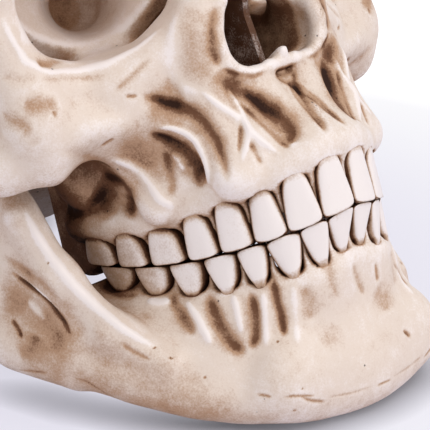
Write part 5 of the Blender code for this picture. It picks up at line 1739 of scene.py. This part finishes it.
@dataclass
class Skull:
    """The skull base and its cap, from one field that is cut along the seam."""

    finishes: Finishes
    rib_rise: float = 0.0150
    rib_lean: float = 0.0100
    fine_depth_share: float = -0.45
    fine_height_share: float = 0.24
    wave_height: float = 0.00016
    wave_size: float = 0.0055
    wave_seed: int = 3

    def rib_foot(self, share: float, s: float) -> tuple[np.ndarray, float]:
        """Where a rib of the upper jaw ends, and its radius."""
        inset, height = UPPER_ROW.gum(s)
        px, py = ARCH.point(s, inset + UPPER_ROW.rib_inset + self.rib_lean)
        return np.array((px, py, height + self.rib_rise)), UPPER_ROW.rib_radius * (1.0 + 0.25 * share)

    def field(self) -> Bone:
        """The whole skull before the cap is cut off.

        Returns:
            The field of the base and the cap.
        """
        half = max(0.5 * BRAINCASE[0] + FIELD_MARGIN, 0.70 * FACE_WIDTH)
        front = max(1.05 * FACE_DEPTH, 0.52 * BRAINCASE[1])
        low = (0.0, -front, -0.50 * FACE_HEIGHT)
        bone = Bone(low, (half, 0.50 * BRAINCASE[1] + FIELD_MARGIN, BRAINCASE[2] + FIELD_MARGIN))
        for place, size in BRAINCASE_SHARES:
            bone.ball(np.array(place) * BRAINCASE, np.array(size) * BRAINCASE, SOFT_BLEND)
        hollow = bone.distance + BRAINCASE_WALL
        for share in BASE_BALL_SHARES:
            bone.share_ball(share, FIRM_BLEND)
        bone.share_ball(TEMPLE_BALL_SHARE, SOFT_BLEND, cut=True)
        for shares in BASE_ROD_SHARES:
            bone.share_rod(shares, FIRM_BLEND)
        for shares in (FILLING_ROD_SHARES, *PLATE_AND_SHADOW_ROD_SHARES):
            bone.share_rod(shares, FIRM_BLEND)
        UPPER_ROW.ribs(bone, self.rib_foot)
        depths = np.array([share[0] for share in FLOOR_SHARES]) * FACE_DEPTH
        heights = np.array([share[1] for share in FLOOR_SHARES]) * FACE_HEIGHT
        floor = np.interp(bone.axes[1], depths, heights).astype(np.float32)[None, :, None]
        hollow = -blend_min(-hollow, bone.axes[2][None, None, :] - floor, FIRM_BLEND)
        bone.distance = -blend_min(-bone.distance, hollow, CRISP_BLEND)
        bone.share_ball(ORBIT_BALL_SHARE, CRISP_BLEND, cut=True)
        bone.share_rod(ORBIT_ROD_SHARES, FIRM_BLEND, cut=True)
        bone.share_ball(NOSTRIL_BALL_SHARE, CRISP_BLEND, cut=True)
        for shares in NASAL_ROD_SHARES:
            bone.share_rod(shares, CRISP_BLEND, cut=True)
        bone.share_ball(PALATE_BALL_SHARE, FIRM_BLEND, cut=True)
        bone.share_ball(CHEEK_SLOPE_BALL_SHARE, FIRM_BLEND, cut=True)
        bone.share_rod(EAR_ROD_SHARES, CRISP_BLEND, cut=True)
        bone.share_rod(FORAMEN_ROD_SHARES, CRISP_BLEND, cut=True)
        for shares in NASAL_RIM_SHARES:
            bone.share_rod(shares, CRISP_BLEND)
        bone.ball(face(CONDYLE_SHARE), 0.5 * CONDYLE + CONDYLE_CLEARANCE + ROUGHNESS_PLAY,
                  CRISP_BLEND, cut=True)
        UPPER_ROW.sockets(bone)
        UPPER_ROW.papillae(bone)
        bone.distance = np.maximum(bone.distance, -bone.height_above_table())
        return bone

    def fittings(self, bone: Bone) -> None:
        """Cut the holes of the magnets and pegs on both sides of the seam.

        Args:
            bone: the field that is cut.
        """
        for angle in MAGNET_ANGLES:
            reach = MAGNET_DEPTH + 0.5 * CAP_SEAM + FIT_GAP
            bone.well(rim_point(angle), MAGNET_RADIUS + FIT_GAP, CAP_CUT_HEIGHT - reach,
                      CAP_CUT_HEIGHT + reach)
        for angle in PEG_ANGLES:
            bone.well(rim_point(angle), PEG_RADIUS + FIT_GAP, CAP_CUT_HEIGHT + PEG_EXPOSED - PEG_LENGTH,
                      CAP_CUT_HEIGHT + PEG_EXPOSED + FIT_GAP)

    def build(self) -> tuple[Surface, Surface]:
        """Mesh the base and the cap, and press the strokes into the base.

        Returns:
            The base and the cap.
        """
        bone = self.field()
        self.fittings(bone)
        above = bone.axes[2][None, None, :] - CAP_CUT_HEIGHT
        base = bone.mesh(np.maximum(bone.distance, above + 0.5 * CAP_SEAM))
        cap = bone.mesh(np.maximum(bone.distance, 0.5 * CAP_SEAM - above))
        near = POSTURE.to_skull(base.points[base.quads].mean(axis=1))
        base.refine((near[:, 1] < self.fine_depth_share * FACE_DEPTH)
                    & (near[:, 2] < self.fine_height_share * FACE_HEIGHT))
        base.points = base.relaxed(1)
        roughen(base, self.wave_height, self.wave_size, self.wave_seed)
        sculpt(base, SKULL_STROKES)
        for shade in SKULL_SHADES:
            shade.lay(base)
        for surface in (base, cap):
            surface.masks["suture"] = Sutures().distance(POSTURE.to_skull(surface.points))
        LOG.info("skull base %d points, cap %d points", len(base.points), len(cap.points))
        return base, cap

    def place(self, base: Surface, cap: Surface) -> None:
        """Make both pieces."""
        dress(base.to_object("skull_base_cast"), self.finishes.bone, "cranium", "resin_bone", "skull_base")
        dress(cap.to_object("calvarium_cast"), self.finishes.bone, "calvarium", "resin_bone", "calvarium")


@dataclass
class LowerJaw:
    """The lower jaw."""

    finishes: Finishes
    fine_depth_share: float = -0.30
    wave_height: float = 0.00016
    wave_size: float = 0.0060
    wave_seed: int = 5

    def border_point(self, share: float) -> np.ndarray:
        """A place on the lower border, by share of its way back."""
        places = np.array([face(point) for point in BORDER_SHARES])
        way = np.concatenate(([0.0], np.cumsum(np.linalg.norm(np.diff(places, axis=0), axis=1))))
        return np.array([np.interp(share * way[-1], way, places[:, i]) for i in range(3)])

    def rib_foot(self, share: float, s: float) -> tuple[np.ndarray, float]:
        """Where a rib ends, and its radius."""
        return self.border_point(share), BORDER_RADIUS

    def ramus(self, bone: Bone) -> None:
        """Join the flat plate of the ramus.

        Args:
            bone: the jaw's field.
        """
        scale = np.array((FACE_DEPTH, FACE_HEIGHT))
        outline = [np.array(share) * scale for share in RAMUS_OUTLINE_SHARES]
        depths = np.array([share[0] for share in RAMUS_PLACE_SHARES]) * FACE_DEPTH
        places = np.array([share[1] for share in RAMUS_PLACE_SHARES]) * FACE_WIDTH

        def shape(x: np.ndarray, y: np.ndarray, z: np.ndarray) -> np.ndarray:
            """Distance to the plate at grid coordinates."""
            near = np.full(np.broadcast(y, z).shape, FAR)
            inside = np.zeros(near.shape, dtype=bool)
            for a, b in zip(outline, outline[1:] + outline[:1]):
                edge = b - a
                along = np.clip(((y - a[0]) * edge[0] + (z - a[1]) * edge[1]) / float(edge @ edge), 0.0, 1.0)
                near = np.minimum(near, np.hypot(y - a[0] - along * edge[0], z - a[1] - along * edge[1]))
                if edge[1] != 0.0:
                    spans = (z >= min(a[1], b[1])) & (z < max(a[1], b[1]))
                    inside ^= spans & (y < a[0] + (z - a[1]) * edge[0] / edge[1])
            plan = np.where(inside, -near, near) + 0.5 * RAMUS_THICKNESS
            side = np.abs(x - np.interp(y, depths, places))
            return np.hypot(np.maximum(plan, 0.0), side) - 0.5 * RAMUS_THICKNESS

        low = (places.min() - RAMUS_THICKNESS, min(p[0] for p in outline), min(p[1] for p in outline))
        high = (places.max() + RAMUS_THICKNESS, max(p[0] for p in outline), max(p[1] for p in outline))
        bone.apply(shape, low, high, FIRM_BLEND)

    def build(self) -> Surface:
        """Mesh the jaw and press the strokes into it.

        Returns:
            The jaw's surface.
        """
        bone = Bone((0.0, -1.05 * FACE_DEPTH, -FACE_HEIGHT),
                    (0.66 * FACE_WIDTH, 0.06 * FACE_DEPTH, 0.08 * FACE_HEIGHT))
        LOWER_ROW.ribs(bone, self.rib_foot)
        bone.share_ball(CHIN_BALL_SHARE, SOFT_BLEND)
        bone.share_ball(CHIN_TUBERCLE_SHARE, FIRM_BLEND)
        bone.share_ball(CHIN_SIDE_SHARE, FIRM_BLEND)
        self.ramus(bone)
        bone.share_rod(OBLIQUE_ROD_SHARES, FIRM_BLEND)
        bone.ball(face(CONDYLE_SHARE), 0.5 * CONDYLE, CRISP_BLEND)
        LOWER_ROW.sockets(bone)
        LOWER_ROW.papillae(bone)
        surface = bone.mesh(np.maximum(bone.distance, -bone.height_above_table()))
        near = POSTURE.to_skull(surface.points[surface.quads].mean(axis=1))
        surface.refine(near[:, 1] < self.fine_depth_share * FACE_DEPTH)
        surface.points = surface.relaxed(1)
        roughen(surface, self.wave_height, self.wave_size, self.wave_seed)
        sculpt(surface, JAW_STROKES)
        for shade in JAW_SHADES:
            shade.lay(surface)
        LOG.info("lower jaw %d points", len(surface.points))
        return surface

    def place(self, surface: Surface) -> None:
        """Make the piece."""
        dress(surface.to_object("mandible_cast"), self.finishes.jaw, "mandible", "resin_bone", "mandible")


@dataclass
class Dentition:
    """All teeth, each its own piece."""

    finishes: Finishes

    def build(self) -> dict[str, tuple[str, Surface]]:
        """Mesh the teeth, by node name, with the body that carries each.

        Returns:
            Each tooth's body and surface, by node name.
        """
        teeth = {}
        for row in (UPPER_ROW, LOWER_ROW):
            for side, side_name in ((-1, "right"), (1, "left")):
                start = 0.0
                for tooth in row.teeth:
                    teeth[f"{row.name}_{side_name}_{tooth[0]}"] = (row.body, row.tooth(start, tooth, side))
                    start += tooth[1]
        return teeth

    def place(self, teeth: dict[str, tuple[str, Surface]]) -> None:
        """Make the pieces."""
        for node, (body, surface) in teeth.items():
            dress(surface.to_object(f"{node}_cast"), self.finishes.teeth, body, "resin_teeth", node)


@dataclass
class Hardware:
    """Springs, screws, magnets, pegs and inserts."""

    finishes: Finishes
    wire_radius: float = 0.00035
    coil_radius: float = 0.00195
    coil_pitch: float = 0.00135
    coil_turns: int = 16
    points_per_turn: int = 16
    ramp_points: int = 12
    screw_radius: float = 0.0009

    def spring_path(self, top: Vector, foot: Vector) -> list[Vector]:
        """Points of a jaw spring: straight end, coil, straight end.

        Args:
            top: the middle of the upper screw.
            foot: the middle of the lower screw.

        Returns:
            The points, from the upper end to the lower.
        """
        axis = (foot - top).normalized()
        across = axis.orthogonal().normalized()
        other = axis.cross(across)
        clear = self.screw_radius + FIT_GAP
        start, end = top + axis * clear, foot - axis * clear
        coil = self.coil_turns * self.coil_pitch
        lead = 0.5 * ((end - start).length - coil)
        points = [start, start + axis * (2.0 * self.wire_radius)]
        steps = self.coil_turns * self.points_per_turn
        for i in range(-self.ramp_points, steps + self.ramp_points + 1):
            turn = i / self.points_per_turn
            past = max(-i, i - steps, 0) / self.ramp_points
            along = lead + self.coil_pitch * min(max(turn, 0.0), self.coil_turns)
            along += math.copysign(past, i) * (lead - 3.0 * self.wire_radius)
            radius = self.coil_radius * (1.0 - past)
            ring = math.cos(math.tau * turn) * across + math.sin(math.tau * turn) * other
            points.append(start + axis * along + radius * ring)
        return points + [end - axis * (2.0 * self.wire_radius), end]

    def spring(self, side: int, name: str) -> None:
        """Make the spring of one side, which stretches over the jaw's hinge.

        Args:
            side: -1 for the right side and 1 for the left.
            name: the side's name.
        """
        ends = []
        for share in (SPRING_TOP_SHARE, SPRING_FOOT_SHARE):
            place = face(share)
            ends.append(Vector(POSTURE.to_model((side * place[0], place[1], place[2]))[0]))
        curve = bpy.data.curves.new(f"{name}_jaw_spring_wire", "CURVE")
        curve.dimensions = "3D"
        curve.bevel_depth = self.wire_radius
        curve.bevel_resolution = 3
        curve.use_fill_caps = True
        spline = curve.splines.new("POLY")
        points = self.spring_path(*ends)
        spline.points.add(len(points) - 1)
        for place, point in zip(spline.points, points):
            place.co = (*point, 1.0)
        spline.use_smooth = True
        shape = linked(f"{name}_jaw_spring_wire", curve)
        depsgraph = bpy.context.evaluated_depsgraph_get()
        data = bpy.data.meshes.new_from_object(shape.evaluated_get(depsgraph))
        bpy.data.objects.remove(shape, do_unlink=True)
        piece = linked(f"{name}_jaw_spring_wire", data)
        data.materials.append(self.finishes.steel)
        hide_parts(f"{name}_jaw_spring")
        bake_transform(piece)
        LOG.info("%s blends from cranium to mandible", piece.name)

    def dress_nodes(self) -> None:
        """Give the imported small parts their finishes."""
        for name, shape in frame["nodes"].items():
            if "screw" in name or "peg" in name:
                material = self.finishes.steel
            elif "magnet" in name:
                material = self.finishes.plating
            elif "styloid" in name:
                material = self.finishes.insert
            elif "septum" in name:
                material = self.finishes.septum
            else:
                continue
            for place in shape.material_slots:
                place.material = material
            LOG.info("%s dressed", name)

    def place(self) -> None:
        """Make the springs and dress the rest."""
        for side, name in ((-1, "right"), (1, "left")):
            self.spring(side, name)
        self.dress_nodes()


@dataclass
class Studio:
    """Pale table that glows for the camera as painted light, with a painted contact shadow; soft lamps and
    white surroundings.
    """

    floor_size: float = 6.0
    floor_colour: tuple[float, float, float] = (0.80, 0.785, 0.88)
    floor_glow: float = 0.84
    painted_contact_shadow_reach: float = 0.009
    fade_start: float = 0.07
    fade_end: float = 0.20
    world_strength: float = 0.62
    key_watts: float = 6.4
    key_size: float = 0.9
    fill_watts: float = 1.6
    fill_size: float = 1.0
    key_place: tuple[float, float, float] = (0.25, -0.85, 0.85)
    fill_place: tuple[float, float, float] = (-0.95, -0.25, 0.45)
    lamp_target: tuple[float, float, float] = (0.0, -0.05, 0.06)
    floor_roughness: float = 0.6
    floor_shine: float = 0.1

    def floor(self) -> None:
        """Lay the table's plain surface, which glows for the camera as painted light and is darker near the
        skull as a painted contact shadow.
        """
        half = 0.5 * self.floor_size
        data = bpy.data.meshes.new("table_surface")
        corners = [(-half, -half, 0.0), (half, -half, 0.0), (half, half, 0.0), (-half, half, 0.0)]
        data.from_pydata(corners, [], [(0, 1, 2, 3)])
        shape = linked("table_surface", data)
        material, g, surface = new_material("plain_table")
        place = g.add("ShaderNodeTexCoord").outputs["Object"]
        reach = g.add("ShaderNodeVectorMath", operation="LENGTH")
        g.feed(reach.inputs[0], place)
        away = g.ramp(reach.outputs["Value"], self.fade_start, self.fade_end)
        # painted contact shadow: the glow fades where the table is closed in near the skull
        painted_contact_shadow = g.add("ShaderNodeAmbientOcclusion")
        painted_contact_shadow.inputs["Distance"].default_value = self.painted_contact_shadow_reach
        # painted light: the table glows for camera rays, which lightens the real shadows on it
        glow = g.math("MULTIPLY", painted_contact_shadow.outputs["AO"], self.floor_glow)
        seen = g.add("ShaderNodeLightPath").outputs["Is Camera Ray"]
        colour = (*self.floor_colour, 1.0)
        # the plain colour is dimmed for the camera, and the painted glow makes up the rest
        plain = tuple((1.0 - self.floor_glow) * value for value in self.floor_colour)
        g.feed(surface.inputs["Base Color"], g.colours(seen, colour, (*plain, 1.0)))
        g.feed(surface.inputs["Emission Color"], g.colours(away, colour, (1.0, 1.0, 1.0, 1.0)))
        strength = g.math("MAXIMUM", glow, away)
        g.feed(surface.inputs["Emission Strength"], g.math("MULTIPLY", strength, seen))
        surface.inputs["Roughness"].default_value = self.floor_roughness
        surface.inputs["Specular IOR Level"].default_value = self.floor_shine
        data.materials.append(material)

    def world(self) -> None:
        """Light the scene softly all round, and show white behind it."""
        world = bpy.data.worlds.new("studio")
        bpy.context.scene.world = world
        world.use_nodes = True
        g = Graph(world.node_tree)
        background = world.node_tree.nodes["Background"]
        rays = g.add("ShaderNodeLightPath")
        seen = g.math("MAXIMUM", rays.outputs["Is Camera Ray"], rays.outputs["Is Glossy Ray"])
        seen = g.math("MAXIMUM", seen, rays.outputs["Is Transmission Ray"])
        g.feed(background.inputs["Strength"], g.ramp(seen, 0.0, 1.0, self.world_strength, 1.0))
        background.inputs["Color"].default_value = (1.0, 1.0, 1.0, 1.0)

    def lamp(self, name: str, place: tuple[float, float, float], watts: float, size: float) -> None:
        """Hang a large soft lamp that looks at the skull.

        Args:
            name: the lamp's name.
            place: where it hangs.
            watts: its power.
            size: its width, in metres.
        """
        data = bpy.data.lights.new(name, "AREA")
        data.energy = watts
        data.size = size
        shape = linked(name, data)
        shape.location = place
        aim = Vector(self.lamp_target) - Vector(place)
        shape.rotation_euler = aim.to_track_quat("-Z", "Y").to_euler()

    def build(self) -> None:
        """Make the studio."""
        self.floor()
        self.world()
        self.lamp("key_lamp", self.key_place, self.key_watts, self.key_size)
        self.lamp("fill_lamp", self.fill_place, self.fill_watts, self.fill_size)
        bpy.context.scene.view_settings.view_transform = "Standard"


def main() -> None:
    """Build the studio and the pieces in order."""
    logging.basicConfig(level=logging.INFO, format="%(name)s: %(message)s")
    CAMERA.add_to_scene()
    Studio().build()
    finishes = Finishes()
    skull, jaw = Skull(finishes), LowerJaw(finishes)
    dentition, hardware = Dentition(finishes), Hardware(finishes)
    base, cap = skull.build()
    lower = jaw.build()
    teeth = dentition.build()
    surfaces = [base, cap, lower] + [surface for _, surface in teeth.values()]
    air = OpenAir(surfaces)
    for surface in surfaces:
        wash_shade_and_highlight_masks(surface, air)
    skull.place(base, cap)
    jaw.place(lower)
    dentition.place(teeth)
    hardware.place()


if __name__ == "__main__":
    main()
